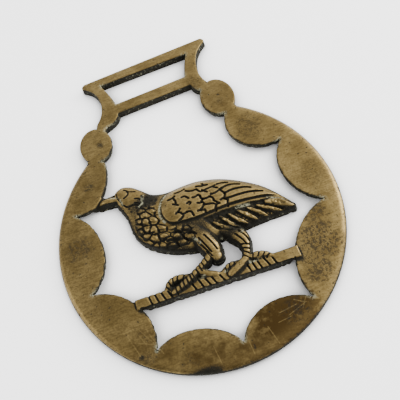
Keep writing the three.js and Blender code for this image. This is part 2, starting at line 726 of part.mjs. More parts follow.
// The beak and the web over it, run from the face into the lobe in front of them.
function beak() {
  const touch = lobeEdge(0).getPoint(BEAK_PLACE);
  const web = PLATE_THICKNESS - WEB_DROP;
  const bar = (base, half, top) => {
    const reach = touch.clone().sub(base).setLength(BEAK_REACH);
    const middle = base.clone().lerp(touch, BEAK_MIDDLE);
    const points = [base, middle, touch, touch.clone().add(reach)];
    const halves = BEAK_TAPER.map((share) => half * share * BIRD_SCALE);
    return ridge(points, halves, [top, top, web, web], 0, 4);
  };
  return union([
    bar(birdPoint(BEAK_BASE), BEAK_HALF, PLATE_THICKNESS + BEAK_RISE),
    bar(birdPoint(WEB_BASE), WEB_HALF, web),
  ]);
}

function eye() {
  const centre = birdPoint(EYE.at);
  const ball = new THREE.SphereGeometry(EYE.radius, 8, 6);
  ball.translate(centre.x, centre.y, bodyHeight(centre) + EYE.stand - EYE.radius);
  return solid(ball);
}

function notches() {
  const left = branchEnd(BRANCH_LEFT, -1);
  const right = branchEnd(BRANCH_RIGHT, 1);
  return NOTCHES.map((x) => {
    const share = (x - left.x) / (right.x - left.x);
    const { y } = left.clone().lerp(right, share);
    const half = THREE.MathUtils.lerp(BRANCH_LEFT.half, BRANCH_RIGHT.half, share);
    const reach = half + BRANCH_DRAFT / 2;
    const ends = [
      new THREE.Vector2(x - NOTCH_LEAN / 2, y + reach),
      new THREE.Vector2(x + NOTCH_LEAN / 2, y - reach),
    ];
    return groove(ends, NOTCH_WIDTH, NOTCH_DEPTH, () => PLATE_THICKNESS + BRANCH_RISE);
  });
}

const union = (solids) => solids.reduce((all, one) => all.add(one));
const cut = (whole, cutters) => cutters.reduce((all, one) => all.subtract(one), whole);

function bird() {
  const feathered = union([body(), ...breastScales(), ...FLANK_FEATHERS.map(flankFeather)]);
  const winged = cut(feathered.add(wing()), wingCuts());
  const faceLines = HEAD_LINES.map((points) =>
    groove(points.map(birdPoint), HEAD_LINE_WIDTH, HEAD_LINE_DEPTH, bodyHeight),
  );
  const headed = cut(winged.add(eye()), faceLines);
  const legged = union([headed, ...Object.values(LIMBS).map(limb)]);
  const thighs = THIGH_LINES.map(({ on, line }) => {
    const heightAt = (point) => limbHeight(point, LIMBS[on]);
    return groove(line.map(birdPoint), THIGH_LINE_WIDTH, THIGH_LINE_DEPTH, heightAt);
  });
  return cut(legged, thighs).add(beak());
}

function hanger() {
  return union([draftedPlate(hangerShape()), ...HANGER.map(bead)]);
}

function casting() {
  const ring = draftedPlate(bandShape()).intersect(rimDisc());
  return union([ring, hanger(), cut(branch(), notches()), bird()]);
}

function meshOf(made, name, material) {
  const { vertProperties, triVerts } = made.getMesh();
  const geometry = new THREE.BufferGeometry();
  geometry.setAttribute("position", new THREE.BufferAttribute(new Float32Array(vertProperties), 3));
  geometry.setIndex(new THREE.BufferAttribute(new Uint32Array(triVerts), 1));
  geometry.computeVertexNormals();
  const mesh = new THREE.Mesh(geometry, material);
  mesh.name = name;
  return mesh;
}

const agedBrass = new THREE.MeshStandardMaterial({ color: 0x8c7443, roughness: 0.42, metalness: 1.0 });

const brass = new THREE.Group();
brass.add(meshOf(casting(), "horse_brass", agedBrass));

export default brass;
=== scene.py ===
"""Looks of a cast horse brass: one metal casting with a bird in relief, on a plain stage.

The casting is worked out with numpy as a height field over its own outline. The outline is the
zero line of a distance field, the face is triangulated inside it, and the walls are rows of
vertices from the face's edge down to the flat back. Lengths are in millimetres here and are
turned into metres when a mesh is made.
"""

import bpy
import numpy as np
from bpy.props import FloatProperty, FloatVectorProperty, PointerProperty
from mathutils import Matrix
from mathutils.geometry import delaunay_2d_cdt


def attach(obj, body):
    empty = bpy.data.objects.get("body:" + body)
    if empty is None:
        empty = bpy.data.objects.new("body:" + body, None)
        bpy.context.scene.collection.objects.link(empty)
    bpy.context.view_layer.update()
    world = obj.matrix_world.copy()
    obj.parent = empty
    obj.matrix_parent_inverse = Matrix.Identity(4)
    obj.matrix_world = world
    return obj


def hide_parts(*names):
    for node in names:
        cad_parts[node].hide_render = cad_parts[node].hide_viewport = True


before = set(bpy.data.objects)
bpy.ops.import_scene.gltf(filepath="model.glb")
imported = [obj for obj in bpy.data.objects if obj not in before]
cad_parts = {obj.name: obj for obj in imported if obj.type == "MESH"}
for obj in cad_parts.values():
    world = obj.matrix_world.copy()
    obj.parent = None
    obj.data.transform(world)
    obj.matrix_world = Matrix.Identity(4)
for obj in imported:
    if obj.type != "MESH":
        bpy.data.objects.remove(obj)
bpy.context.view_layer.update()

bl_info = {
    "name": "Horse brass",
    "version": (1, 0, 0),
    "blender": (4, 5, 0),
    "location": "3D Viewport > Sidebar > Horse brass",
    "description": "Builds an aged cast horse brass with a bird in relief, and a stage for it",
    "category": "Add Mesh",
}

MM = 0.001

# Plate; bearings run round the ring in degrees, from its right-hand side
RING_RADIUS = 37.9
PLATE_THICKNESS = 2.4
RIM_BEVEL_WIDTH = 1.7
RIM_BEVEL_DROP = 0.9
RIM_BEVEL_POWER = 2.9
CUSPS = [  # bearing, depth in from the rim
    (124.9, 4.8), (155.6, 4.1), (196.5, 5.4), (235.6, 4.2), (271.8, 5.1),
    (305.1, 2.9), (349.7, 4.5), (386.9, 5.1), (418.3, 3.9),
]
LOBE_PULLS = [  # how far the two handles of each lobe's edge stand in from its chord
    (3.8, 7.4), (6.8, 8.2), (6.6, 7.4), (5.4, 5.6), (6.6, 5.6), (8.2, 7.4), (6.8, 7.2), (7.4, 8.4),
]
LOBE_HANDLE = 0.22  # share of the chord from a cusp to its handle
LOBE_STEPS = 24
HANGER = [  # x out from the middle, y up from the ring's top; bead: bearing, out, half sizes
    dict(
        side=-1, tip=(19.1, 18.6), waist=(15.4, 9.8), neck=(18.3, 2.9), slot_top=(14.0, 16.8),
        slot_low=(11.0, 8.0), bar_low=(11.2, 4.5), inner_neck=(15.7, 0.8),
        bead=(120.7, 1.6, 4.8, 5.9),
    ),
    dict(
        side=1, tip=(20.5, 20.4), waist=(15.7, 8.8), neck=(16.8, 4.6), slot_top=(14.4, 17.4),
        slot_low=(11.3, 8.9), bar_low=(12.1, 5.3), inner_neck=(14.7, 1.7),
        bead=(63.2, 2.1, 5.0, 6.5),
    ),
]
TIP_RADIUS = 0.9
TIP_SLANT, TIP_BULGE = 0.4, 1.3  # as shares of the tip's radius
FLARE_LOW, FLARE_HIGH = 0.45, 0.62  # how high the flare's handles stand on each half
NECK_PULL = (0.15, 0.3)

# Branch: middle line from lobe to lobe, half width at each end, height over the face
BRANCH = [(-20.8, -15.8), (21.2, -16.9)]
BRANCH_HALF = (1.2, 1.4)
BRANCH_RISE = 0.6
BRANCH_TOOTH = 2.2
BRANCH_NOTCHES = [  # upper and lower x of each cut across the branch
    (-17.4, -16.9), (-15.8, -15.2), (-14.2, -13.4), (-12.6, -11.6), (-6.5, -5.5), (-4.5, -3.6),
    (-3.0, -1.8), (-1.4, -0.3), (0.5, 1.8), (7.9, 8.6), (9.3, 10.0), (10.6, 11.3), (12.3, 13.4),
    (14.2, 15.1),
]

# Bird, as drawn; BIRD_SHIFT sets it on the branch
BIRD_SHIFT = np.array([-0.1, -0.45])
BACK_LINE = [
    (-19.0, 16.2), (-18.3, 17.3), (-16.2, 18.1), (-13.6, 17.2), (-11.3, 15.2), (-8.8, 12.9),
    (-5.2, 11.9), (-1.0, 12.1), (3.5, 12.0), (8.5, 10.8), (12.5, 9.0), (16.5, 6.5), (19.8, 3.8),
    (22.8, 0.2), (25.8, -4.2),
]
BELLY_LINE = [
    (-19.0, 14.2), (-18.8, 13.0), (-18.2, 11.5), (-17.4, 9.4), (-17.0, 7.0), (-16.8, 4.0),
    (-15.8, 1.0), (-13.6, -1.6), (-10.0, -4.1), (-5.7, -6.0), (-0.6, -7.0), (5.2, -6.2),
    (11.4, -5.5), (18.2, -5.2), (25.3, -5.3),
]
CREST = [0.2, 0.8, 1.1, 1.1, 0.9, 1.1, 1.5, 1.8, 2.0, 2.0, 1.8, 1.4, 1.0, 0.6, 0.0]
BODY_WALL_DROP = 0.9
BODY_FULLNESS = 2.2


def spline_at(points, place):
    """Smooth curve through the points, read at places counted in steps of the list: cubic
    pieces, whose slope at a point is half the way from the point before it to the one after."""
    points = np.asarray(points, float)
    last = len(points) - 1
    index = np.clip(place.astype(int), 0, last - 1)
    share = (place - index)[:, None]
    before, start, end, after = (points[np.clip(index + k, 0, last)] for k in (-1, 0, 1, 2))
    leave, arrive = (end - before) / 2, (after - start) / 2
    cubic = 2 * start - 2 * end + leave + arrive
    square = -3 * start + 3 * end - 2 * leave - arrive
    return ((cubic * share + square) * share + leave) * share + start


def spline(points, count):
    """The smooth curve through the points as count + 1 rows."""
    return spline_at(points, np.linspace(0, len(points) - 1, count + 1))


def handle_curve(handles, count):
    """Curve drawn by its handles: each round blends every point with the next one."""
    share = np.linspace(0, 1, count + 1)[:, None]
    rows = [np.repeat([np.asarray(h, float)], count + 1, axis=0) for h in handles]
    while len(rows) > 1:
        rows = [a + (b - a) * share for a, b in zip(rows, rows[1:])]
    return rows[0]


def polar(radius, bearing):
    """Point at a radius and a bearing in degrees."""
    angle = np.radians(bearing)
    return radius * np.array([np.cos(angle), np.sin(angle)])


def smooth(share):
    """Smooth step from 0 to 1, level at both ends."""
    return share * share * (3 - 2 * share)


def smooth_max(first, second, reach):
    """The larger of two fields, filled by up to a quarter of reach where they are nearly equal."""
    gap = np.clip(1 - np.abs(first - second) / reach, 0, 1)
    return np.maximum(first, second) + gap * gap * reach / 4


def inside_distance(xy, loop):
    """Distance of each point from a closed line, positive inside it and negative outside."""
    nearest = np.full(len(xy), np.inf)
    inside = np.zeros(len(xy), bool)
    for start, end in zip(loop, np.roll(loop, -1, axis=0)):
        edge = end - start
        away = xy - start
        share = np.clip(away @ edge / max(edge @ edge, 1e-12), 0, 1)
        gap = away - share[:, None] * edge
        nearest = np.minimum(nearest, (gap * gap).sum(1))
        if start[1] != end[1]:
            spans = (start[1] > xy[:, 1]) != (end[1] > xy[:, 1])
            inside ^= spans & (away[:, 0] < edge[0] * away[:, 1] / edge[1])
    return np.where(inside, 1.0, -1.0) * np.sqrt(nearest)


def along_path(xy, path):
    """Share of the way along a line, and the distance from it, of the place nearest each point."""
    starts, edges = path[:-1], np.diff(path, axis=0)
    away = xy[:, None] - starts
    share = np.clip((away * edges).sum(2) / (edges * edges).sum(1), 0, 1)
    gap = np.hypot(*np.moveaxis(away - share[..., None] * edges, 2, 0))
    best = gap.argmin(1)
    row = np.arange(len(xy))
    return (best + share[row, best]) / len(edges), gap[row, best]


def near_path(xy, path, margin):
    """Rows of the points that lie in the path's box, grown by a margin."""
    inside = (xy > path.min(0) - margin) & (xy < path.max(0) + margin)
    return np.flatnonzero(inside.all(1))


def soft_noise(xy, size, seed):
    """Random field from -1 to 1 with bumps about size wide: lattice values, blended smoothly."""
    lattice = np.random.default_rng(seed).uniform(-1, 1, (256, 256))
    place = xy / size + 1000.0
    cell = np.floor(place).astype(int)
    share = place - cell
    across, up = smooth(share).T
    (left, low), (right, high) = (cell % 256).T, ((cell + 1) % 256).T
    bottom = lattice[left, low] * (1 - across) + lattice[right, low] * across
    top = lattice[left, high] * (1 - across) + lattice[right, high] * across
    return bottom * (1 - up) + top * up


# Outlines

def lobe_edge(index):
    """Inner edge of one lobe, from cusp to cusp."""
    start, end = (polar(RING_RADIUS - depth, b) for b, depth in CUSPS[index:index + 2])
    along = end - start
    inward = np.array([-along[1], along[0]]) / np.hypot(*along)
    pulls = [inward * pull for pull in LOBE_PULLS[index]]
    first = start + along * LOBE_HANDLE + pulls[0]
    second = end - along * LOBE_HANDLE + pulls[1]
    return handle_curve([start, first, second, end], LOBE_STEPS)


def band_loop():
    """The band that holds the lobes, run out past the rim."""
    inner = np.concatenate([lobe_edge(i)[:-1] for i in range(len(LOBE_PULLS))])
    last = polar(RING_RADIUS - CUSPS[-1][1], CUSPS[-1][0])
    outer = [polar(2 * RING_RADIUS, bearing) for bearing, _ in reversed(CUSPS)]
    return np.concatenate([inner, [last], outer])


def hanger_point(record, name):
    """A named point of one side of the hanger, on the brass."""
    x, y = record[name]
    return np.array([record["side"] * x, RING_RADIUS + y])


def bead_centre(record):
    """Middle of a bead: out from the rim, at its bearing."""
    bearing, out, _, _ = record["bead"]
    return polar(RING_RADIUS + out, bearing)


def bead_loop(record):
    """A bead's oval: its middle, and its two half sizes times cosine and sine."""
    angle = np.linspace(0, 2 * np.pi, 72, endpoint=False)
    _, _, across, along = record["bead"]
    return bead_centre(record) + np.column_stack([across * np.cos(angle), along * np.sin(angle)])


def beads_inside(xy):
    """Distance inside the nearer bead."""
    return np.max([inside_distance(xy, bead_loop(record)) for record in HANGER], axis=0)


def flare(record):
    """One flared side of the hanger, from its neck up to its rounded tip."""
    neck, waist, tip = (hanger_point(record, name) for name in ("neck", "waist", "tip"))
    side = record["side"]
    slant = np.array([side * TIP_RADIUS * TIP_SLANT, -TIP_RADIUS])
    low_pull = (waist[0], neck[1] + (waist[1] - neck[1]) * FLARE_LOW)
    high_pull = (waist[0], waist[1] + (tip[1] - waist[1]) * FLARE_HIGH)
    outside = tip + (side * TIP_RADIUS * TIP_BULGE, 0)
    parts = [
        handle_curve([neck, low_pull, waist], 12),
        handle_curve([waist, high_pull, tip + slant], 12),
        handle_curve([tip + slant, outside, tip - slant], 8),
    ]
    return np.concatenate([part[1:] if i else part for i, part in enumerate(parts)])


def inner_neck(record):
    """The rounded shoulder from the lower bar down to the bead."""
    low, high = hanger_point(record, "inner_neck"), hanger_point(record, "bar_low")
    across, up = NECK_PULL
    pull = (high[0] + (low[0] - high[0]) * across, low[1] + (high[1] - low[1]) * up)
    return handle_curve([high, pull, low], 8)


def hanger_loop():
    """Outline of the hanger, closed through the middles of both beads."""
    left, right = HANGER
    parts = [
        [bead_centre(left)], flare(left), flare(right)[::-1], [bead_centre(right)],
        inner_neck(right)[::-1], inner_neck(left),
    ]
    return np.concatenate(parts)


def slot_loop():
    """The strap slot: straight at the top and bottom, bowed at both ends."""
    sides = []
    for record in HANGER:
        low, top = hanger_point(record, "slot_low"), hanger_point(record, "slot_top")
        bow = ((top[0] + 2 * low[0]) / 3, (top[1] + low[1]) / 2)
        sides.append(handle_curve([low, bow, top], 10))
    return np.concatenate([sides[0], sides[1][::-1]])


# Forms on the outline

LIMBS = {  # path, half widths, heights over the face
    "near_thigh": (
        [(-1.0, -1.8), (0.3, -4.8), (1.5, -7.8), (2.0, -10.2)],
        (1.9, 2.6, 2.6, 1.8), (2.0, 2.2, 1.8, 0.9),
    ),
    "near_shank": (
        [(1.0, -9.4), (-1.6, -11.1), (-3.6, -12.3), (-6.0, -13.7)],
        (1.1, 0.95, 0.95, 0.95), (1.2, 1.1, 1.1, 1.3),
    ),
    "near_front_toe": (
        [(-5.4, -13.5), (-8.0, -14.6), (-10.9, -15.7)], (0.95, 0.95, 0.7), (1.5, 1.5, 1.2),
    ),
    "near_hump_toe": (
        [(-12.6, -14.4), (-11.2, -13.0), (-9.0, -12.5), (-6.2, -13.0)],
        (0.6, 0.95, 0.95, 0.7), (0.5, 0.9, 1.0, 1.0),
    ),
    "near_hind_toe": (
        [(-3.4, -12.7), (-1.6, -14.0), (0.5, -14.9)], (1.0, 1.0, 0.8), (1.2, 1.1, 0.9),
    ),
    "far_thigh": (
        [(6.4, -4.4), (8.6, -6.4), (9.7, -8.6), (9.7, -10.6)],
        (1.9, 2.3, 1.9, 1.3), (1.2, 1.5, 1.3, 1.0),
    ),
    "far_shank": (
        [(9.8, -9.8), (9.4, -12.0), (8.3, -14.0)], (1.25, 1.15, 1.0), (1.1, 1.1, 1.3),
    ),
    "far_front_toe": (
        [(8.6, -13.8), (6.4, -15.0), (3.8, -16.2)], (0.95, 1.05, 0.9), (1.5, 1.6, 1.4),
    ),
    "far_inner_toe": (
        [(2.4, -14.7), (4.2, -14.0), (6.4, -14.1)], (0.55, 0.8, 0.7), (0.7, 1.0, 1.1),
    ),
    "far_hind_toe": (
        [(9.6, -13.7), (11.6, -13.8), (13.5, -14.4), (14.8, -15.3)],
        (0.8, 0.95, 0.85, 0.6), (1.1, 1.1, 1.0, 0.7),
    ),
    "near_sole": (
        [(-10.7, -14.0), (-9.1, -13.7), (-6.5, -13.7), (-2.9, -14.2)],
        (0.6, 0.7, 0.6, 0.6), (-0.3, -0.3, -0.3, -0.3),
    ),
    "far_sole": (
        [(8.6, -14.2), (9.6, -14.3), (10.8, -14.4)], (0.6, 0.6, 0.6), (-0.3, -0.3, -0.3),
    ),
}
ROUNDNESS = 0.8  # how far a limb's sides drop, as a share of its half width
SIDE_SLOPE = 3.0
FILLET = 0.35
FAR_OUTSIDE = -9.0

BEAK_BASE, BEAK_HALF, BEAK_RISE = (-18.2, 14.8), 0.8, 0.5
WEB_BASE, WEB_HALF, WEB_DROP = (-17.8, 15.8), 1.6, 0.7  # thin metal round the beak
BEAK_PLACE = 0.66  # where the beak meets the first lobe's edge
BEAK_REACH = 2.4
BEAK_TAPER = np.array([1.2, 1, 0.9, 0.7])
TOOTH_DROP = 0.5  # the branch's ends run under the lobes, this far below the face


def drawn(points):
    """Points of the bird's drawing, set on the brass."""
    return np.asarray(points, float) + BIRD_SHIFT


class Field:
    """Signed distance inside the casting's outline, and its height, at a set of points."""

    def __init__(self, xy):
        self.xy = xy
        self.inside = np.full(len(xy), FAR_OUTSIDE)
        self.height = np.full(len(xy), FAR_OUTSIDE)

    def add(self, rows, inside, height):
        """Joins one form to the casting: the higher of the two is kept, with a small fillet."""
        height = height + SIDE_SLOPE * np.minimum(inside, 0)
        self.inside[rows] = smooth_max(self.inside[rows], inside, FILLET)
        self.height[rows] = smooth_max(self.height[rows], height, FILLET / 2)

    def add_plate(self, loop, height):
        """A flat plate inside a closed line."""
        rows = near_path(self.xy, loop, 1.0)
        self.add(rows, inside_distance(self.xy[rows], loop), height)

    def add_ridge(self, path, halves, tops):
        """A bar with a round top that follows a path: widths and heights are given along it."""
        line = spline(path, 24)
        rows = near_path(self.xy, line, max(halves) + 1.0)
        place, away = along_path(self.xy[rows], line)
        place = place * (len(path) - 1)
        half = spline_at(np.column_stack([halves]), place)[:, 0]
        top = spline_at(np.column_stack([tops]), place)[:, 0]
        share = np.clip(away / half, 0, 1)
        drop = ROUNDNESS * half * (1 - np.sqrt(1 - share * share))
        self.add(rows, half - away, top - drop)


def ring_inside(xy):
    """Distance inside the ring: inside its rim and inside the band of lobes."""
    return np.minimum(RING_RADIUS - np.hypot(*xy.T), inside_distance(xy, band_loop()))


def add_flat_work(field):
    """The ring, the hanger with its slot cut out, and both beads, all of one thickness."""
    xy = field.xy
    hanger = np.minimum(inside_distance(xy, hanger_loop()), -inside_distance(xy, slot_loop()))
    for inside in (ring_inside(xy), hanger):
        field.add(slice(None), inside, PLATE_THICKNESS)
    for record in HANGER:
        field.add_plate(bead_loop(record), PLATE_THICKNESS)


def add_branch(field):
    """The branch, and a lower bar along it that reaches into the lobes."""
    (left, right), (left_half, right_half) = np.array(BRANCH, float), BRANCH_HALF
    along = (right - left) / np.hypot(*(right - left))
    tooth = along * BRANCH_TOOTH
    for start, end, rise in (
        (left, right, BRANCH_RISE), (left - tooth, right + tooth, -TOOTH_DROP),
    ):
        low = [start - (0, left_half), end - (0, right_half)]
        top = [end + (0, right_half), start + (0, left_half)]
        field.add_plate(np.array(low + top), PLATE_THICKNESS + rise)


def body_loop():
    """Outline of the bird's body: along its back and home along its belly."""
    back, belly = spline(drawn(BACK_LINE), 56), spline(drawn(BELLY_LINE), 56)
    return np.concatenate([back, belly[::-1]])


def body_station(xy):
    """Station along the body of the cross line that each point lies on, found by halving."""
    back, belly = drawn(BACK_LINE), drawn(BELLY_LINE)
    low, high = np.zeros(len(xy)), np.full(len(xy), len(BACK_LINE) - 1.0)

    def side(place):
        start = spline_at(back, place)
        across, away = spline_at(belly, place) - start, xy - start
        return across[:, 0] * away[:, 1] - across[:, 1] * away[:, 0]

    first = np.sign(side(low))
    for _ in range(20):
        middle = (low + high) / 2
        before = np.sign(side(middle)) == first
        low, high = np.where(before, middle, low), np.where(before, high, middle)
    return low


def body_height(xy, inside):
    """Round back of the bird: an arch over the body's width, on the wall round it."""
    place = body_station(xy)
    crest = PLATE_THICKNESS + spline_at(np.column_stack([CREST]), place)[:, 0]
    width = np.hypot(*(spline_at(drawn(BACK_LINE), place) - spline_at(drawn(BELLY_LINE), place)).T)
    share = np.clip(inside / np.maximum(width / 2, 0.2), 0, 1)
    arch = (1 - (1 - share) ** BODY_FULLNESS) ** (1 / BODY_FULLNESS)
    wall = PLATE_THICKNESS - BODY_WALL_DROP
    return wall + (crest - wall) * arch


def add_bird(field):
    """The body, the limbs, and the beak and its web, which narrow towards the lobe they meet."""
    loop = body_loop()
    rows = near_path(field.xy, loop, 1.0)
    xy = field.xy[rows]
    inside = inside_distance(xy, loop)
    field.add(rows, inside, body_height(xy, inside))
    for path, halves, rises in LIMBS.values():
        field.add_ridge(drawn(path), halves, PLATE_THICKNESS + np.array(rises))
    touch = lobe_edge(0)[round(BEAK_PLACE * LOBE_STEPS)]
    web_top = PLATE_THICKNESS - WEB_DROP
    for base, half, top in (
        (BEAK_BASE, BEAK_HALF, PLATE_THICKNESS + BEAK_RISE), (WEB_BASE, WEB_HALF, web_top),
    ):
        base = drawn(base)
        reach = (touch - base) / np.hypot(*(touch - base)) * BEAK_REACH
        path = np.array([base, base + (touch - base) * 0.6, touch, touch + reach])
        field.add_ridge(path, half * BEAK_TAPER, [top, top, web_top, web_top])


def casting_field(xy):
    """The whole casting without its carving."""
    field = Field(xy)
    add_flat_work(field)
    add_branch(field)
    add_bird(field)
    return field


# Mesh of a height field over its own outline

def contour_loops(values, xs, ys):
    """Closed zero lines of a field on a grid, each with the positive side on its left."""
    corner = [values[:-1, :-1], values[1:, :-1], values[1:, 1:], values[:-1, 1:]]
    code = sum((c > 0).astype(int) << k for k, c in enumerate(corner))
    columns, rows = len(xs), len(ys)
    i, j = np.indices(code.shape)
    across = i * rows + j
    up = columns * rows + i * rows + j
    edges = [across, up + rows, across + 1, up]
    steps = {
        1: [(0, 3)], 2: [(1, 0)], 3: [(1, 3)], 4: [(2, 1)], 5: [(0, 1), (2, 3)], 6: [(2, 0)],
        7: [(2, 3)], 8: [(3, 2)], 9: [(0, 2)], 10: [(1, 2), (3, 0)], 11: [(1, 2)], 12: [(3, 1)],
        13: [(0, 1)], 14: [(3, 0)],
    }
    follows = {}
    for case, pairs in steps.items():
        cells = code == case
        for start, end in pairs:
            follows.update(zip(edges[start][cells].tolist(), edges[end][cells].tolist()))
    grid = np.stack(np.meshgrid(xs, ys, indexing="ij"), -1)

    def crossing(edge):
        vertical, cell = divmod(edge, columns * rows)
        a = divmod(cell, rows)
        b = (a[0], a[1] + 1) if vertical else (a[0] + 1, a[1])
        share = values[a] / (values[a] - values[b])
        return grid[a] + (grid[b] - grid[a]) * share

    loops = []
    while follows:
        edge = next(iter(follows))
        loop = []
        while edge in follows:
            loop.append(crossing(edge))
            edge = follows.pop(edge)
        loops.append(np.array(loop))
    return loops


def even_loop(loop, spacing):
    """The same closed line with its points at even distances."""
    closed = np.concatenate([loop, loop[:1]])
    run = np.concatenate([[0], np.cumsum(np.hypot(*np.diff(closed, axis=0).T))])
    places = np.linspace(0, run[-1], max(int(run[-1] / spacing), 8), endpoint=False)
    return np.column_stack([np.interp(places, run, closed[:, k]) for k in range(2)])


def slope(xy, reach=0.12):
    """Gradient of the inside distance, by differences over a short reach."""
    ends = [xy + offset for offset in ((reach, 0), (-reach, 0), (0, reach), (0, -reach))]
    right, left, top, low = np.split(casting_field(np.concatenate(ends)).inside, 4)
    return np.column_stack([right - left, top - low]) / (2 * reach)


# Carving on the bird, in its drawn places

WING_TOP = [
    (-7.6, 7.4), (-6.9, 9.3), (-5.3, 10.9), (-2.6, 11.8), (1.5, 11.9), (5.5, 11.4), (9.5, 10.2),
    (13.0, 8.5), (16.5, 6.3), (19.5, 3.8), (21.9, 0.8), (22.7, -0.3),
]
WING_LOW = [
    (-7.9, 5.4), (-7.6, 3.4), (-6.5, 1.7), (-4.9, 1.0), (-2.0, 0.6), (2.0, 0.5), (7.0, 0.9),
    (11.0, 1.05), (15.0, 0.75), (18.5, 0.35), (21.4, -0.25), (22.4, -0.7),
]
WING_STEP = 0.7
WING_EDGE = 0.35
WING_FADE = 2.2  # the step grows over this distance from the bird's back
WING_MARKS = [  # dark cuts between the covert feathers
    [(-5.2, 8.2), (-4.2, 8.3), (-3.2, 8.7)], [(-3.6, 8.0), (-3.4, 7.2), (-3.4, 6.4)],
    [(-4.2, 6.4), (-3.5, 6.0), (-3.0, 5.6)], [(-2.8, 4.4), (-3.6, 3.7), (-4.2, 3.4)],
    [(-3.6, 3.7), (-2.9, 3.2), (-2.6, 2.6), (-1.4, 2.7)], [(-1.4, 2.8), (-0.3, 2.5), (0.0, 1.2)],
    [(-1.5, 7.5), (-0.6, 7.5), (0.2, 6.5)], [(-0.6, 5.2), (0.0, 5.4), (0.3, 5.0), (-0.1, 4.7)],
    [(1.2, 6.3), (1.9, 6.2), (2.8, 6.5), (3.2, 6.0)], [(3.2, 6.1), (3.3, 5.2), (3.7, 4.8)],
    [(3.5, 4.8), (4.6, 4.7), (5.6, 4.9)], [(5.6, 4.8), (6.1, 4.3), (6.2, 3.7)],
    [(2.0, 4.2), (2.7, 4.0), (3.4, 4.6)], [(3.1, 4.1), (3.6, 3.4), (3.3, 3.1)],
    [(3.4, 3.1), (4.4, 2.9), (5.4, 2.7), (6.6, 2.2), (7.3, 2.1)],
    [(6.1, 3.5), (6.6, 2.8), (7.0, 2.4)],
    [(1.4, 2.0), (2.2, 2.1), (3.0, 2.7)], [(2.2, 1.9), (3.2, 1.7), (3.1, 0.9)],
    [(6.4, 2.0), (5.9, 1.2), (5.8, 0.7)], [(9.5, 2.1), (9.3, 1.4), (9.1, 0.9)],
    [(4.2, 7.6), (4.7, 7.0), (5.3, 6.5)], [(4.9, 7.3), (5.9, 7.5), (7.0, 7.6), (7.9, 7.8)],
    [(7.4, 7.3), (8.2, 6.7)], [(6.0, 5.4), (7.2, 5.4), (8.4, 5.9), (9.3, 6.3)],
    [(3.0, 8.2), (3.5, 7.4), (4.2, 7.2)], [(0.0, 9.2), (0.7, 8.7), (1.6, 8.4), (2.9, 8.4)],
    [(-2.9, 9.6), (-1.6, 9.6), (-0.2, 9.9)], [(3.0, 9.3), (3.8, 9.1), (4.6, 8.8)],
    [(4.8, 9.7), (5.0, 8.9), (6.0, 8.7)], [(8.7, 6.0), (9.0, 5.2), (9.4, 4.6)],
    [(9.5, 4.3), (9.1, 3.4), (7.9, 2.9)], [(8.7, 3.0), (9.6, 2.3)],
    [(-4.1, 1.2), (-3.2, 1.6), (-2.6, 2.1)],
]
FLIGHT_LINES = [  # the line under each long wing feather
    [(8.5, 7.9), (9.6, 7.9), (11.2, 7.5)], [(9.3, 6.1), (10.4, 6.5), (12.2, 6.5), (14.0, 5.9)],
    [(9.4, 4.4), (11.0, 4.75), (12.6, 4.8), (14.8, 4.5), (16.4, 3.9)],
    [(8.9, 2.9), (10.4, 2.75), (12.6, 2.8), (15.0, 2.7), (17.2, 2.3), (18.9, 1.8)],
]
HEAD_MARKS = [
    [(-15.8, 16.5), (-15.1, 16.0), (-14.7, 15.5), (-14.0, 15.3), (-13.0, 15.1)],
    [(-15.1, 15.8), (-14.9, 15.0), (-15.4, 14.3), (-16.4, 13.9)],
    [(-18.2, 16.2), (-18.1, 14.8), (-17.5, 13.4), (-17.3, 12.2)],
    [(-13.5, 12.8), (-12.8, 12.6), (-12.3, 12.1)], [(-13.9, 11.5), (-13.1, 11.3), (-12.8, 10.9)],
    [(-16.9, 12.0), (-16.0, 11.1), (-14.4, 11.1), (-12.9, 10.6), (-11.8, 11.6), (-11.6, 13.2)],
]
FLANK_FEATHERS = [  # middle line, half width, lift
    ([(18.7, -1.4), (20.6, -2.0), (22.6, -3.2), (24.6, -5.0)], 0.85, 0.75),
    ([(16.2, -1.5), (17.8, -2.5), (19.6, -3.6), (21.6, -4.9)], 0.48, 0.5),
    ([(13.6, -1.2), (15.0, -2.3), (16.4, -3.6), (17.9, -5.1)], 0.5, 0.5),
    ([(10.9, -1.0), (12.4, -2.3), (13.7, -3.6), (15.1, -5.1)], 0.5, 0.5),
    ([(8.4, -1.1), (9.9, -2.9), (11.2, -4.1), (12.4, -5.1)], 0.5, 0.5),
    ([(6.2, -1.0), (7.6, -2.8), (8.8, -4.2), (10.0, -5.2)], 0.5, 0.45),
    ([(4.2, -2.0), (5.8, -3.5), (7.2, -4.6), (8.2, -5.3)], 0.5, 0.45),
]
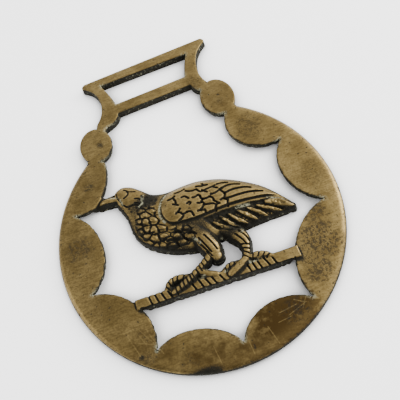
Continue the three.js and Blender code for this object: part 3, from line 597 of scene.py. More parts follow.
BREAST_SCALES = [  # middle, half length, half width, turn in degrees, lift
    (-12.6, 4.9, 1.4, 0.95, -30, 0.4), (-10.4, 4.5, 1.1, 0.8, -50, 0.35),
    (-12.9, 2.5, 1.2, 0.5, -75, 0.4), (-14.4, 2.6, 0.6, 0.5, -20, 0.3),
    (-13.7, 0.9, 0.8, 0.5, -70, 0.4), (-11.0, 1.7, 1.4, 1.15, -50, 0.5),
    (-11.6, -0.5, 1.2, 0.95, -60, 0.4), (-8.9, 1.4, 0.9, 0.6, -20, 0.35),
    (-9.0, -0.9, 1.35, 0.75, -15, 0.55), (-6.3, 0.4, 1.1, 0.6, -10, 0.35),
    (-5.8, -2.1, 1.1, 0.75, -15, 0.5), (-2.9, -1.1, 0.95, 0.75, -10, 0.45),
    (-7.6, -3.9, 1.2, 0.65, -5, 0.45), (-4.7, -4.2, 1.2, 0.7, 5, 0.4),
    (-2.6, -3.5, 1.1, 0.85, -20, 0.35), (-12.3, 6.8, 0.9, 0.55, -60, 0.25),
    (-14.3, 5.6, 0.8, 0.5, -80, 0.25), (-10.0, 7.2, 0.9, 0.5, -60, 0.25),
    (-13.4, -1.0, 0.8, 0.45, -55, 0.25), (-10.4, -3.0, 1.0, 0.6, -30, 0.2),
]
BREAST_PITS = [  # path, half width, depth
    ([(-8.6, -2.3), (-7.6, -2.4), (-6.9, -2.8)], 0.6, 0.6),
    ([(-6.2, -1.0), (-5.2, -1.0), (-4.6, -1.6)], 0.35, 0.5),
    ([(-4.5, -2.2), (-4.2, -3.1), (-3.6, -4.2)], 0.35, 0.5),
    ([(-2.8, -2.5), (-1.7, -2.7), (-1.0, -3.6)], 0.3, 0.45),
    ([(-6.5, -3.6), (-6.2, -4.4)], 0.35, 0.5), ([(-11.8, 1.1), (-11.1, 1.0)], 0.22, 0.35),
    ([(-10.9, 3.1), (-9.7, 2.9), (-8.8, 3.6)], 0.25, 0.35),
    ([(-10.3, 5.5), (-9.8, 5.3)], 0.3, 0.35),
]
BREAST_EDGE = [
    (-13.5, 9.4), (-9.2, 9.0), (-8.6, 5.5), (-8.4, 3.0), (-7.0, 0.8), (-4.5, 0.2), (-1.2, -0.5),
    (-0.8, -3.2), (-1.6, -4.8), (-4.5, -5.4), (-8.0, -5.0), (-11.5, -3.4), (-14.2, -0.6),
    (-15.6, 3.0), (-15.2, 6.6),
]
NECK_EDGE = [
    (-16.6, 11.4), (-14.5, 11.0), (-12.2, 11.0), (-11.2, 13.4), (-9.2, 12.4), (-7.6, 10.4),
    (-8.4, 8.4), (-13.4, 8.6), (-15.6, 7.6),
]
FLANK_EDGE = [
    (1.5, 0.1), (7.0, 0.5), (15.0, 0.4), (21.2, -0.6), (23.6, -3.4), (21.6, -5.6), (15.0, -6.6),
    (8.0, -6.0), (4.0, -4.0),
]
FLANK_SINK = 0.5
# Spots of dirt and of painted shadow, such as the dark band under the wing, the lower belly and the
# neck
DIRT_AND_SHADE_SPOTS = [  # drawn x, y, radius across and up, strength
    (-12.0, 10.2, 4.6, 2.4, 1.1), (-9.6, 11.6, 2.6, 2.0, 0.8), (-15.2, 4.0, 1.8, 4.4, 0.6),
    (-9.5, -4.8, 5.4, 1.8, 1.0), (-3.0, -1.2, 4.0, 2.0, 0.6), (6.0, -0.6, 6.0, 1.2, 0.9),
    (13.0, -0.5, 5.0, 1.0, 0.6), (9.0, -6.0, 7.0, 1.4, 0.7), (1.0, -3.0, 2.4, 2.0, 0.7),
    (7.0, -5.0, 3.0, 2.4, 0.5), (-4.0, -13.4, 5.0, 1.6, 0.35), (-10.0, -14.5, 3.4, 1.6, 0.4),
    (8.0, -12.5, 3.4, 2.0, 0.3),
]
RIM_SPOTS = [  # x, y, radius across and up, strength
    (-10.0, -36.5, 4.2, 1.3, 0.9), (-22.8, -28.2, 0.9, 0.8, 0.6), (-24.6, 21.6, 0.8, 1.0, 0.4),
    (-26.2, 20.6, 0.9, 0.6, 0.35), (-18.9, 33.4, 0.9, 0.7, 0.5), (15.5, -29.8, 2.2, 1.4, 0.35),
]
RESIDUE = [  # drawn lines where pale old polish is left
    [(-5.5, 10.4), (-6.5, 9.4), (-7.6, 7.8), (-8.2, 6.3), (-8.4, 5.0), (-8.2, 3.5), (-7.6, 2.4)],
    [(-17.5, 14.0), (-17.2, 12.5)], [(-20.7, 16.2), (-19.5, 15.5), (-18.3, 15.2)],
    [(-12.9, 10.0), (-12.0, 10.6), (-11.3, 13.2)], [(11.0, 0.0), (14.5, -0.3)],
    [(19.5, -0.3), (22.5, -1.8), (23.0, -2.3)], [(-3.8, -14.4), (-2.5, -14.4)],
    [(-1.4, -13.0), (-1.0, -13.0)], [(2.6, -15.1), (3.0, -15.1)], [(9.2, -15.1), (11.0, -15.1)],
    [(4.5, -9.0), (5.2, -8.7), (4.7, -6.3)], [(10.0, -6.9), (10.2, -6.6)],
    [(11.5, -6.3), (14.5, -6.6)], [(-2.0, -4.4), (-1.2, -5.2), (-0.8, -6.2)],
]
THIGH_LINES = [  # cuts down both thighs
    [(-0.8, -4.9), (0.3, -7.3), (1.1, -9.2)], [(0.8, -4.6), (1.9, -6.9), (2.7, -9.0)],
    [(-1.2, -6.0), (0.2, -8.6), (0.9, -10.2)], [(2.6, -4.8), (3.4, -6.6), (3.9, -8.6)],
    [(6.6, -7.6), (7.4, -9.0), (8.2, -10.3)], [(8.2, -7.0), (9.4, -8.9), (10.0, -10.4)],
    [(9.3, -6.4), (10.5, -8.2), (11.0, -9.8)],
]
LEG_BANDS = {  # number of short cuts across each limb
    "near_shank": 6, "far_shank": 4, "near_front_toe": 5, "near_hump_toe": 5, "far_hind_toe": 4,
    "far_inner_toe": 3,
}
BAND_HALF, BAND_DEPTH, BAND_LEAN = 0.22, 0.4, 0.3
NOTCH_HALF, NOTCH_DEPTH = 0.3, 0.55
CARVED_LINES = [  # lines, half width, depth
    (WING_MARKS, 0.4, 0.5), (FLIGHT_LINES, 0.42, 0.6), (HEAD_MARKS, 0.28, 0.4),
    (THIGH_LINES, 0.28, 0.5),
]
NECK_PITS, FLANK_PITS = (0.5, 0.35, 21), (0.45, 0.2, 22)  # size, depth, seed of the noise
SCALE_GROOVE, SCALE_DOME, SCALE_LIFT, SCALE_TILT = (0.45, 0.42), 0.25, 0.6, 0.25
FEATHER_WIDEN, FEATHER_LIFT, FEATHER_ENDS = 1.5, 0.25, 0.55
REGION_FADE = 0.8  # carving of a region fades in over this distance from its edge
SCALE_SKEW, SCALE_WIDTH = (0.86, 0.36), 1.15  # scales are longer than wide, and slanted


class Relief(Field):
    """The casting's field with its carving cut in and laid on."""

    def cut(self, path, half, depth):
        """A groove with a round bottom along a path."""
        line = spline(path, 4 * (len(path) - 1))
        rows = near_path(self.xy, line, half)
        share = np.clip(along_path(self.xy[rows], line)[1] / half, 0, 1)
        self.height[rows] -= depth * (1 - share * share) ** 2

    def lay_feather(self, path, half, lift):
        """A feather with a round back that narrows towards both ends."""
        line = spline(path, 12)
        rows = near_path(self.xy, line, half)
        place, away = along_path(self.xy[rows], line)
        bulge = np.sin(np.pi * np.clip(place, 0.05, 0.95))
        width = half * (FEATHER_ENDS + (1 - FEATHER_ENDS) * bulge)
        share = np.clip(away / width, 0, 1)
        self.height[rows] += lift * (1 - share ** 3)

    def lay_scale(self, x, y, long, short, turn, lift):
        """A scale: a low boss that is highest towards its rear edge."""
        angle = np.radians(turn)
        centre = drawn((x, y))
        rows = near_path(self.xy, centre[None], long)
        away = self.xy[rows] - centre
        u = (away[:, 0] * np.cos(angle) + away[:, 1] * np.sin(angle)) / long
        v = (away[:, 1] * np.cos(angle) - away[:, 0] * np.sin(angle)) / short
        share = np.clip(u * u + v * v, 0, 1)
        self.height[rows] += lift * (1 - share * share) * (1 + SCALE_TILT * u)

    def part_cells(self, seeds, edge, half, depth, dome):
        """Scales side by side: a groove runs where a point is as near to one seed as to the
        next, and each scale is domed round its seed. It fades out at the region's edge."""
        rows = near_path(self.xy, edge, 0)
        xy = self.xy[rows]
        x, y = np.moveaxis(xy[:, None] - seeds, 2, 0)
        away = np.hypot(x * SCALE_SKEW[0] + y * SCALE_SKEW[1], y * SCALE_WIDTH)
        nearest = np.sort(away, axis=1)[:, :2]
        fade = np.clip(inside_distance(xy, edge) / REGION_FADE + 0.2, 0, 1)
        ragged = half * (1 + 0.7 * soft_noise(xy, 0.6, 11))
        share = np.clip((nearest[:, 1] - nearest[:, 0]) / ragged, 0, 1)
        groove = depth * (1 - share) ** 1.5
        self.height[rows] += fade * (dome * np.clip(1 - nearest[:, 0] ** 2, 0, 1) - groove)

    def roughen(self, edge, size, depth, seed):
        """Pits of one size all over a region: a random field, where it is below zero."""
        rows = near_path(self.xy, edge, 0)
        xy = self.xy[rows]
        fade = np.clip(inside_distance(xy, edge) / REGION_FADE, 0, 1)
        self.height[rows] -= depth * fade * np.clip(soft_noise(xy, size, seed) + 0.1, 0, 1)

    def sink(self, edge, depth):
        """Lowers a region evenly, with a slope at its edge."""
        rows = near_path(self.xy, edge, 0)
        share = np.clip(inside_distance(self.xy[rows], edge) / REGION_FADE, 0, 1)
        self.height[rows] -= depth * smooth(share)


def breast_seeds():
    """Middles of the breast's scales: the larger ones, and small ones spread between them."""
    large = np.array([scale[:2] for scale in BREAST_SCALES])
    random = np.random.default_rng(7)
    small = np.stack(np.meshgrid(np.arange(-17, 0, 1.8), np.arange(-7, 10, 1.6)), -1)
    small = small.reshape(-1, 2) + random.uniform(-0.45, 0.45, (small.size // 2, 2))
    gap = np.hypot(*np.moveaxis(small[:, None] - large, 2, 0)).min(1)
    return drawn(np.concatenate([large, small[gap > 1.3]]))


def raise_wing(relief):
    """Lifts the wing by a step at its outline, less near the bird's back."""
    top, low = spline(drawn(WING_TOP), 44), spline(drawn(WING_LOW), 44)
    loop = np.concatenate([top, low[::-1]])
    rows = near_path(relief.xy, loop, 0.1)
    xy = relief.xy[rows]
    step = smooth(np.clip(inside_distance(xy, loop) / WING_EDGE, 0, 1))
    from_back = along_path(xy, spline(drawn(WING_TOP), 30))[1]
    relief.height[rows] += WING_STEP * step * np.clip(0.1 + from_back / WING_FADE, 0, 1)


def cut_bands(relief, name, count):
    """Short cuts across a leg."""
    path, halves, _ = LIMBS[name]
    line = drawn(path)
    for i in range(count):
        place = np.array([(i + 0.7) / (count + 0.6) * (len(path) - 1)])
        centre = spline_at(line, place)[0]
        ahead = spline_at(line, place + 0.05)[0] - centre
        across = np.array([-ahead[1], ahead[0]]) / np.hypot(*ahead) * max(halves)
        side = across + ahead / np.hypot(*ahead) * BAND_LEAN
        relief.cut(np.array([centre - side, centre + side]), BAND_HALF, BAND_DEPTH)


def branch_point(x, share):
    """Place on the branch at x, from its middle line (0) to its upper edge (1)."""
    left, right = np.array(BRANCH, float)
    along = (x - left[0]) / (right[0] - left[0])
    half = BRANCH_HALF[0] + (BRANCH_HALF[1] - BRANCH_HALF[0]) * along
    return np.array([x, left[1] + (right[1] - left[1]) * along + share * half])


def carved_relief(xy):
    """The casting with all its carving, and the bevel that wear has left on its rim."""
    relief = Relief(xy)
    add_flat_work(relief)
    add_branch(relief)
    for top, low in BRANCH_NOTCHES:
        notch = np.array([branch_point(top, 1.1), branch_point(low, -1.0)])
        relief.cut(notch, NOTCH_HALF, NOTCH_DEPTH)
    add_bird(relief)
    relief.sink(drawn(FLANK_EDGE), FLANK_SINK)
    raise_wing(relief)
    relief.roughen(drawn(NECK_EDGE), *NECK_PITS)
    relief.roughen(drawn(FLANK_EDGE), *FLANK_PITS)
    relief.part_cells(breast_seeds(), drawn(BREAST_EDGE), *SCALE_GROOVE, SCALE_DOME)
    for x, y, long, short, turn, lift in BREAST_SCALES:
        relief.lay_scale(x, y, long, short, turn, lift * SCALE_LIFT)
    for path, half, lift in FLANK_FEATHERS:
        relief.lay_feather(drawn(path), half * FEATHER_WIDEN, lift + FEATHER_LIFT)
    for path, half, depth in BREAST_PITS:
        relief.cut(drawn(path), half, depth)
    for lines, half, depth in CARVED_LINES:
        for path in lines:
            relief.cut(drawn(path), half, depth)
    for name, count in LEG_BANDS.items():
        cut_bands(relief, name, count)
    rim = np.clip(1 - (RING_RADIUS - np.hypot(*xy.T)) / RIM_BEVEL_WIDTH, 0, 1)
    rim *= np.clip(-beads_inside(xy) / BEAD_CLEAR, 0, 1)
    rim *= np.abs(xy[:, 0]) + HANGER_CLEAR > xy[:, 1]
    relief.height -= RIM_BEVEL_DROP * rim ** RIM_BEVEL_POWER * (relief.height > -1)
    return relief


# Mesh of the casting

BEAD_CLEAR = 0.8
HANGER_CLEAR = 18.0
EDGE_ROUNDING = 0.25
EDGE_SHARE = 0.98  # just under a quarter circle, so that the edge isn't upright
EDGE_ROWS = (0.08, 0.22)  # depths of the rows of points that follow the outline
OUTLINE_STEP = 0.2
OUTLINE_SPACING = 0.3
FINE_STEP = 0.15
PLAIN_EVERY = 4  # the flat work has every fourth point of the bird's grid
LEAST_HOLE = 3.0  # area of the smallest outline that is kept
FIGURE_MARGIN, FIGURE_TOP = 0.4, 25.0
BACK_STEP = 3.0
CHIP_SIZE, EDGE_CHIPS = 0.7, 0.11

WALL_ROWS = 6
WALL_DRAFT = 0.3
RIM_DRAFT = 0.18
ROOM_GAIN = 1.6  # the draft fades where the next wall is near
LUMP_SIZE, WALL_ROUGHNESS = 0.5, 0.08
UNDERCUT = 0.8
RIM_UNDERCUT = 0.35
UNDERCUT_FROM = 0.2
UNDERCUT_POWER = 1.5
UNDERCUT_REACH = 1.5  # fades over this distance outside the ring and the beads
HANGER_FOOT, HANGER_FADE = 43.0, 5.0  # the hanger's own walls aren't undercut

NEAR_ROUNDS, WIDE_ROUNDS = 8, 40  # rounds of smoothing that show small and large hollows
# Hollows are darkened: dirt and painted shade, over small and large hollows
NEAR_DIRT_AND_SHADE, WIDE_DIRT_AND_SHADE = 3.2, 1.4
# Darker colour along the inner edges, away from the rim
EDGE_DARKENING, EDGE_DARKENING_CHANGE, EDGE_DARKENING_REACH = 0.45, 0.4, 0.5
# Steep sides of the bird and the branch are darkened as painted shade
STEEP_SHADE, STEEP_FROM, STEEP_MOST = 0.5, 0.35, 1.2
SPOT_DIRT_AND_SHADE = 0.5
CLEAN_RIM = 0.6
# Convex places are lightened: wear and a painted highlight on ridges and edges
WEAR_HIGHLIGHT_HEIGHT = 0.16
FLAT_WEAR_HIGHLIGHT = 0.25
POLISH_HALF = 0.4
CORNER_REACH = 1.8
CORNER_DEPTH = 0.7


def grid_of(step):
    """Columns, rows and all points of a square grid over the whole brass."""
    xs = np.arange(-RING_RADIUS - 1, RING_RADIUS + 1, step)
    ys = np.arange(-RING_RADIUS - 1, RING_RADIUS + 23, step)
    return xs, ys, np.stack(np.meshgrid(xs, ys, indexing="ij"), -1).reshape(-1, 2)


def loop_area(loop):
    """Half the sum of the cross products of following points: positive if it runs to the left."""
    following = np.roll(loop, -1, axis=0)
    return (loop[:, 0] * following[:, 1] - following[:, 0] * loop[:, 1]).sum() / 2


def outline_loops(chip_depth):
    """The casting's outline at its face: even points, moved on to the exact zero line."""
    xs, ys, grid = grid_of(OUTLINE_STEP)
    values = casting_field(grid).inside.reshape(len(xs), len(ys))
    loops = [loop for loop in contour_loops(values, xs, ys) if abs(loop_area(loop)) > LEAST_HOLE]
    loops = [even_loop(loop, OUTLINE_SPACING) for loop in loops]
    joined = np.concatenate(loops)
    down = slope(joined)
    steep = np.maximum((down * down).sum(1), 0.3)[:, None]
    joined = joined - down * casting_field(joined).inside[:, None] / steep
    outward = -down / np.hypot(*down.T)[:, None]
    chips = np.clip(soft_noise(joined, CHIP_SIZE, 5), 0, 1) * chip_depth * ~on_rim(joined)
    return joined - outward * chips[:, None], [len(loop) for loop in loops], outward


def on_rim(xy):
    """Which places are on the ring's round rim or beyond it."""
    return np.hypot(*xy.T) > RING_RADIUS - 0.1


def loop_edges(counts):
    """Index of the point that follows each point on its own loop."""
    starts = np.cumsum([0] + counts[:-1])
    return np.concatenate([start + (np.arange(n) + 1) % n for start, n in zip(starts, counts)])


def fill_outline(points, counts):
    """Triangles that join points inside the loops, which are the first of the points."""
    starts = np.cumsum([0] + counts)
    loops = [list(range(a, b)) for a, b in zip(starts, starts[1:])]
    loops = [loop if loop_area(points[loop]) > 0 else loop[::-1] for loop in loops]
    verts, _, faces, _, _, owners = delaunay_2d_cdt(points.tolist(), [], loops, 1, 1e-6, True)
    if len(verts) != len(points):
        raise RuntimeError("The outline crosses itself: %d, %d points" % (len(points), len(verts)))
    outer = max(range(len(loops)), key=lambda k: abs(loop_area(points[loops[k]])))
    return np.array([face for face, owner in zip(faces, owners) if list(owner) == [outer]])


def face_points(outline, outward):
    """The outline, rows of points just inside it, and a grid that is finer on the figure."""
    rows = [outline]
    for depth in EDGE_ROWS:
        row = outline - outward * depth
        rows.append(row[casting_field(row).inside > 0.8 * depth])
    _, ys, grid = grid_of(FINE_STEP)
    column, row = np.divmod(np.arange(len(grid)), len(ys))
    plain = (column % PLAIN_EVERY == 0) & (row % PLAIN_EVERY == 0)
    figure = Field(grid)
    add_branch(figure)
    add_bird(figure)
    grid = grid[plain | (figure.inside > -FIGURE_MARGIN)]
    grid = grid[casting_field(grid).inside > EDGE_ROWS[-1] + 0.1]
    return np.concatenate(rows + [grid])


def casting_mesh(look):
    """Vertices in millimetres, faces, and the masks of the whole casting.

    The face is the carved height field with its edge rounded to a quarter circle. The walls hang
    from its outline, and the flat back is filled between their feet."""
    outline, counts, outward = outline_loops(look.edge_chips / MM)
    face = face_points(outline, outward)
    triangles = fill_outline(face, counts)
    relief = carved_relief(face)
    inside = np.clip(relief.inside, 0, None)
    inside[:len(outline)] = 0
    radius = max(look.edge_rounding / MM, 0.01)
    rounding = np.clip(1 - inside / radius, 0, 1)
    height = relief.height - radius * (1 - np.sqrt(1 - rounding * rounding * EDGE_SHARE))
    hollow = cavity_of(height, triangles, NEAR_ROUNDS)
    follow = loop_edges(counts)
    edge = height[:len(outline)]
    walls, wall_faces = wall_rows(look, outline, outward, edge, follow, len(face))
    foot = walls[-len(outline):, :2]
    spread = grid_of(BACK_STEP)[2]
    spread = spread[casting_field(spread).inside > BACK_STEP / 2]
    back = fill_outline(np.concatenate([foot, spread]), counts)[:, ::-1]
    first_foot = len(face) + len(walls) - len(outline)
    verts = np.concatenate([
        np.column_stack([face, height]), walls, np.column_stack([spread, np.zeros(len(spread))]),
    ])
    wall = np.zeros(len(verts))
    wall[len(face):len(face) + len(walls)] = 1.0
    wall[:len(outline)] = 0.5
    # Lightening of convex places: wear and a painted highlight
    wear_and_highlight = np.clip(-hollow / WEAR_HIGHLIGHT_HEIGHT, 0, 1) * np.where(figure_mask(face), 1.0, FLAT_WEAR_HIGHLIGHT)
    # Dark mask: dirt plus painted shade in hollows, on steep sides and under the wing
    grime_and_shade, residue = shade_and_dirt_of(face, height, triangles, hollow), residue_of(face, inside)
    masks = {"wall": wall}
    for name, values in (("grime_and_shade", grime_and_shade), ("residue", residue), ("wear_and_highlight", wear_and_highlight)):
        masks[name] = np.concatenate([values, np.zeros(len(verts) - len(face))])
    faces = triangles.tolist() + wall_faces.tolist() + (back + first_foot).tolist()
    return verts, faces, masks


def wall_rows(look, outline, outward, edge_height, follow, first_row):
    """Rows of vertices from the face's edge down to the back, and the faces between them.

    A wall leans out by its draft, in proportion to its depth, with lumps on it. Under the ring's
    lobes and the beads it leans back in, by the undercut times a power of its depth."""
    draft = np.where(on_rim(outline), RIM_DRAFT, WALL_DRAFT)
    room = -casting_field(outline + outward * draft[:, None]).inside / draft
    draft = draft * np.clip(room * ROOM_GAIN - (ROOM_GAIN - 1), 0, 1)
    plate = np.maximum(ring_inside(outline), beads_inside(outline))
    under = np.clip(1 + plate / UNDERCUT_REACH, 0, 1)
    under *= np.clip((HANGER_FOOT - outline[:, 1]) / HANGER_FADE, 0, 1)
    under *= np.where(on_rim(outline), RIM_UNDERCUT, look.undercut / MM)
    count = len(outline)
    rows = []
    for row in range(1, WALL_ROWS + 1):
        share = row / WALL_ROWS
        lumps = soft_noise(outline + (share * 7, 0), LUMP_SIZE, 3) * (share < 1)
        rough = look.wall_roughness / MM * lumps
        out = draft * (share + np.minimum(rough, 0) / WALL_DRAFT)
        lean = max(share - UNDERCUT_FROM, 0) / (1 - UNDERCUT_FROM)
        out = out - under * lean ** UNDERCUT_POWER
        places = outline + outward * out[:, None]
        rows.append(np.column_stack([places, edge_height * (1 - share)]))
    here = np.arange(count)
    faces = []
    for row in range(WALL_ROWS):
        upper = 0 if row == 0 else first_row + (row - 1) * count
        lower = first_row + row * count
        faces.append(np.column_stack([upper + here, lower + here, lower + follow, upper + follow]))
    return np.concatenate(rows), np.concatenate(faces)


def steepness(xy, height, triangles):
    """Rise over run at each vertex, from the normals of the triangles round it."""
    places = np.column_stack([xy, height])
    first, second, third = places[triangles.T]
    normals = np.cross(second - first, third - first)
    total = np.zeros((len(xy), 3))
    for axis in range(3):
        for corner in triangles.T:
            total[:, axis] += np.bincount(corner, normals[:, axis], len(xy))
    return np.hypot(total[:, 0], total[:, 1]) / np.maximum(total[:, 2], 1e-6)


def cavity_of(height, triangles, rounds):
    """How far each vertex lies below the average of the vertices round it."""
    ends = np.concatenate([triangles[:, [0, 1]], triangles[:, [1, 2]], triangles[:, [2, 0]]])
    count = np.bincount(ends.ravel(), minlength=len(height))
    smooth_height = height.copy()
    for _ in range(rounds):
        total = np.bincount(ends[:, 0], smooth_height[ends[:, 1]], len(height))
        total += np.bincount(ends[:, 1], smooth_height[ends[:, 0]], len(height))
        smooth_height = total / np.maximum(count, 1)
    return smooth_height - height


def figure_mask(xy):
    """Which places are on the bird and its branch."""
    return (ring_inside(xy) < -FIGURE_MARGIN) & (xy[:, 1] < FIGURE_TOP)


def spot_sum(xy, spots):
    """Soft round spots: each is its strength times e to the minus squared distance."""
    total = np.zeros(len(xy))
    for x, y, across, up, strength in spots:
        away = (xy - (x, y)) / (across, up)
        total += strength * np.exp(-(away * away).sum(1))
    return total


def shade_and_dirt_of(xy, height, triangles, hollow):
    """How dark a place is painted, as a sum of shares: dirt and painted shade in hollows, a
    darkening along inner edges, painted shade on steep sides of the bird and the branch, spots on
    the figure of dirt that a hand doesn't rub and of painted shadow, and spots on the rim."""
    grime_and_shade = NEAR_DIRT_AND_SHADE * np.maximum(hollow, 0)
    grime_and_shade += WIDE_DIRT_AND_SHADE * np.maximum(cavity_of(height, triangles, WIDE_ROUNDS), 0)
    figure = figure_mask(xy)
    edge = np.clip(1 - casting_field(xy).inside / EDGE_DARKENING_REACH, 0, 1)
    edge *= np.hypot(*xy.T) < RING_RADIUS - CLEAN_RIM
    grime_and_shade += edge * (EDGE_DARKENING + EDGE_DARKENING_CHANGE * soft_noise(xy, 0.8, 31))
    # Painted shade on the steep sides, and spots of dirt and painted shadow, on the figure
    steep = STEEP_SHADE * np.clip(steepness(xy, height, triangles) - STEEP_FROM, 0, STEEP_MOST)
    grime_and_shade += (steep + SPOT_DIRT_AND_SHADE * spot_sum(xy - BIRD_SHIFT, DIRT_AND_SHADE_SPOTS)) * figure
    return grime_and_shade + spot_sum(xy, RIM_SPOTS)


def residue_of(xy, inside):
    """Old polish: along drawn lines on the bird, and by the edge in the corners of the slot, the
    necks and the cusps, where it falls off as e to the minus squared distance."""
    mask = np.zeros(len(xy))
    corners = [polar(RING_RADIUS - depth, bearing) for bearing, depth in CUSPS]
    for record in HANGER:
        corners += [hanger_point(record, key) for key in ("slot_top", "slot_low", "inner_neck")]
    for corner in corners:
        away = np.hypot(*(xy - corner).T)
        mask = np.maximum(mask, np.exp(-(away / CORNER_REACH) ** 2))
    mask = mask * np.clip(1 - inside / CORNER_DEPTH, 0, 1)
    for line in RESIDUE:
        line = drawn(line)
        rows = near_path(xy, line, POLISH_HALF)
        away = along_path(xy[rows], line)[1]
        mask[rows] = np.maximum(mask[rows], np.clip(1.2 - away / POLISH_HALF, 0, 1))
    return mask


def make_piece(name, verts, faces, masks):
    """A mesh object at the origin, with one number a vertex for each mask."""
    mesh = bpy.data.meshes.new(name)
    mesh.from_pydata((verts * MM).tolist(), [], faces)
    for key, values in masks.items():
        mask = mesh.attributes.new(key, "FLOAT", "POINT")
        mask.data.foreach_set("value", values.astype(np.float32))
    mesh.shade_smooth()
    mesh.update()
    piece = bpy.data.objects.new(name, mesh)
    bpy.context.scene.collection.objects.link(piece)
    return piece


# Materials; places are in millimetres, and every mask runs from 0 to 1

PATCHES = [  # x, y, radius and strength of the pitted places
    (-31.5, 4.0, 4.5, 0.9), (27.0, -16.0, 6.5, 1.0), (24.0, -22.0, 5.0, 0.9),
    (22.5, 22.0, 5.0, 0.5), (33.0, 2.0, 5.0, 0.35), (-19.0, 33.5, 1.3, 0.9),
    (18.0, 34.0, 1.4, 0.5), (-25.4, 21.0, 1.7, 1.0), (-21.0, -29.0, 2.2, 0.7),
    (13.5, 43.5, 3.0, 0.5), (28.5, -8.0, 4.5, 0.8), (-12.0, -33.0, 3.0, 0.4),
    (15.0, -30.0, 4.0, 0.8),
]
STAINS = [  # brown worn places
    (-20.0, -27.0, 7.0, 0.6), (-8.0, -36.0, 8.0, 0.8), (13.0, -31.0, 9.0, 1.5),
    (-30.0, -12.0, 5.0, 0.2), (4.0, -36.0, 9.0, 0.9), (-8.0, -37.0, 3.2, 1.5),
    (18.0, 35.7, 7.0, 0.35), (-25.3, 22.0, 8.0, 0.25),
]
SCRATCHES = [  # start, run across and up, width
    (-24.0, -19.5, 3.0, -6.0, 0.5), (-22.6, -20.5, 3.4, -5.4, 0.45), (-25.0, -22.0, 2.2, -6.4, 0.5),
    (-21.0, -19.0, 1.6, -5.6, 0.4), (-23.4, -24.4, 5.4, -2.4, 0.4), (-20.2, -22.0, 2.6, -7.0, 0.4),
    (11.0, -29.4, 4.6, 0.6, 0.55), (13.0, -30.6, 5.0, 1.6, 0.4), (15.4, -27.6, 2.2, -1.4, 0.5),
    (10.0, -31.4, 3.4, 0.4, 0.35), (16.6, -30.2, 1.6, 2.2, 0.35),
    (-6.0, -31.4, 0.6, -4.4, 0.4), (2.0, -31.6, 0.4, -4.6, 0.4), (7.4, -31.4, 1.2, -4.6, 0.4),
]
SCRATCH_WIDTH, SCRATCH_STRENGTH = 0.75, 0.55
BUMP_DEPTH = 0.25
SHADOW_REACH = 12


def add_node(tree, kind, inputs=None, **settings):
    """A shader node with its settings, and each input set to a value or joined to a socket."""
    node = tree.nodes.new(kind)
    for key, value in settings.items():
        setattr(node, key, value)
    for key, value in (inputs or {}).items():
        if isinstance(value, bpy.types.NodeSocket):
            tree.links.new(value, node.inputs[key])
        else:
            node.inputs[key].default_value = value
    return node


def math_node(tree, operation, first, second=0.0, clamp=False):
    """Two values put through one operation."""
    inputs = {0: first, 1: second}
    return add_node(tree, "ShaderNodeMath", inputs, operation=operation, use_clamp=clamp).outputs[0]


def times(tree, first, second, clamp=False):
    """Product of two values."""
    return math_node(tree, "MULTIPLY", first, second, clamp)


def largest(tree, values):
    """The largest of several values."""
    result = values[0]
    for value in values[1:]:
        result = math_node(tree, "MAXIMUM", result, value)
    return result


def remap(tree, value, low, high, start=0.0, end=1.0):
    """Smooth step of a value from low to high, turned into the range from start to end."""
    inputs = {"Value": value, "From Min": low, "From Max": high, "To Min": start, "To Max": end}
    node = add_node(tree, "ShaderNodeMapRange", inputs, interpolation_type="SMOOTHSTEP")
    return node.outputs["Result"]


def mix_colour(tree, share, first, second):
    """The first colour where share is 0, the second where it is 1."""
    inputs = {0: share, 6: first, 7: second}
    return add_node(tree, "ShaderNodeMix", inputs, data_type="RGBA").outputs[2]


def noise_node(tree, place, scale, detail=4.0, rough=0.6):
    """Noise with bumps about one over scale wide, mostly from 0.3 to 0.7."""
    inputs = {"Vector": place, "Scale": scale, "Detail": detail, "Roughness": rough}
    return add_node(tree, "ShaderNodeTexNoise", inputs).outputs["Fac"]


def vector_node(tree, operation, inputs, output="Vector"):
    """Vectors put through one operation."""
    return add_node(tree, "ShaderNodeVectorMath", inputs, operation=operation).outputs[output]


def mask_group(name, inputs):
    """An empty shader group that puts out a mask: its inputs as names and defaults."""
    group = bpy.data.node_groups.new(name, "ShaderNodeTree")
    for key, default in inputs.items():
        kind = "NodeSocketFloat" if isinstance(default, float) else "NodeSocketVector"
        group.interface.new_socket(key, in_out="INPUT", socket_type=kind).default_value = default
    group.interface.new_socket("Mask", in_out="OUTPUT", socket_type="NodeSocketFloat")
    given = group.nodes.new("NodeGroupInput").outputs
    return group, given, group.nodes.new("NodeGroupOutput").inputs["Mask"]


def patch_group():
    """Mask of a worn or pitted patch: distance from its middle over its radius, plus noise."""
    group, given, mask = mask_group("Patch", {
        "Place": (0, 0, 0), "Middle": (0, 0, 0), "Radius": 5.0,
    })
    ragged = noise_node(group, given["Place"], 0.45, 3.0)
    away = vector_node(group, "DISTANCE", {0: given["Place"], 1: given["Middle"]}, "Value")
    share = math_node(group, "DIVIDE", away, given["Radius"])
    share = math_node(group, "ADD", share, times(group, ragged, 1.2))
    group.links.new(remap(group, share, 1.7, 1.1), mask)
    return group


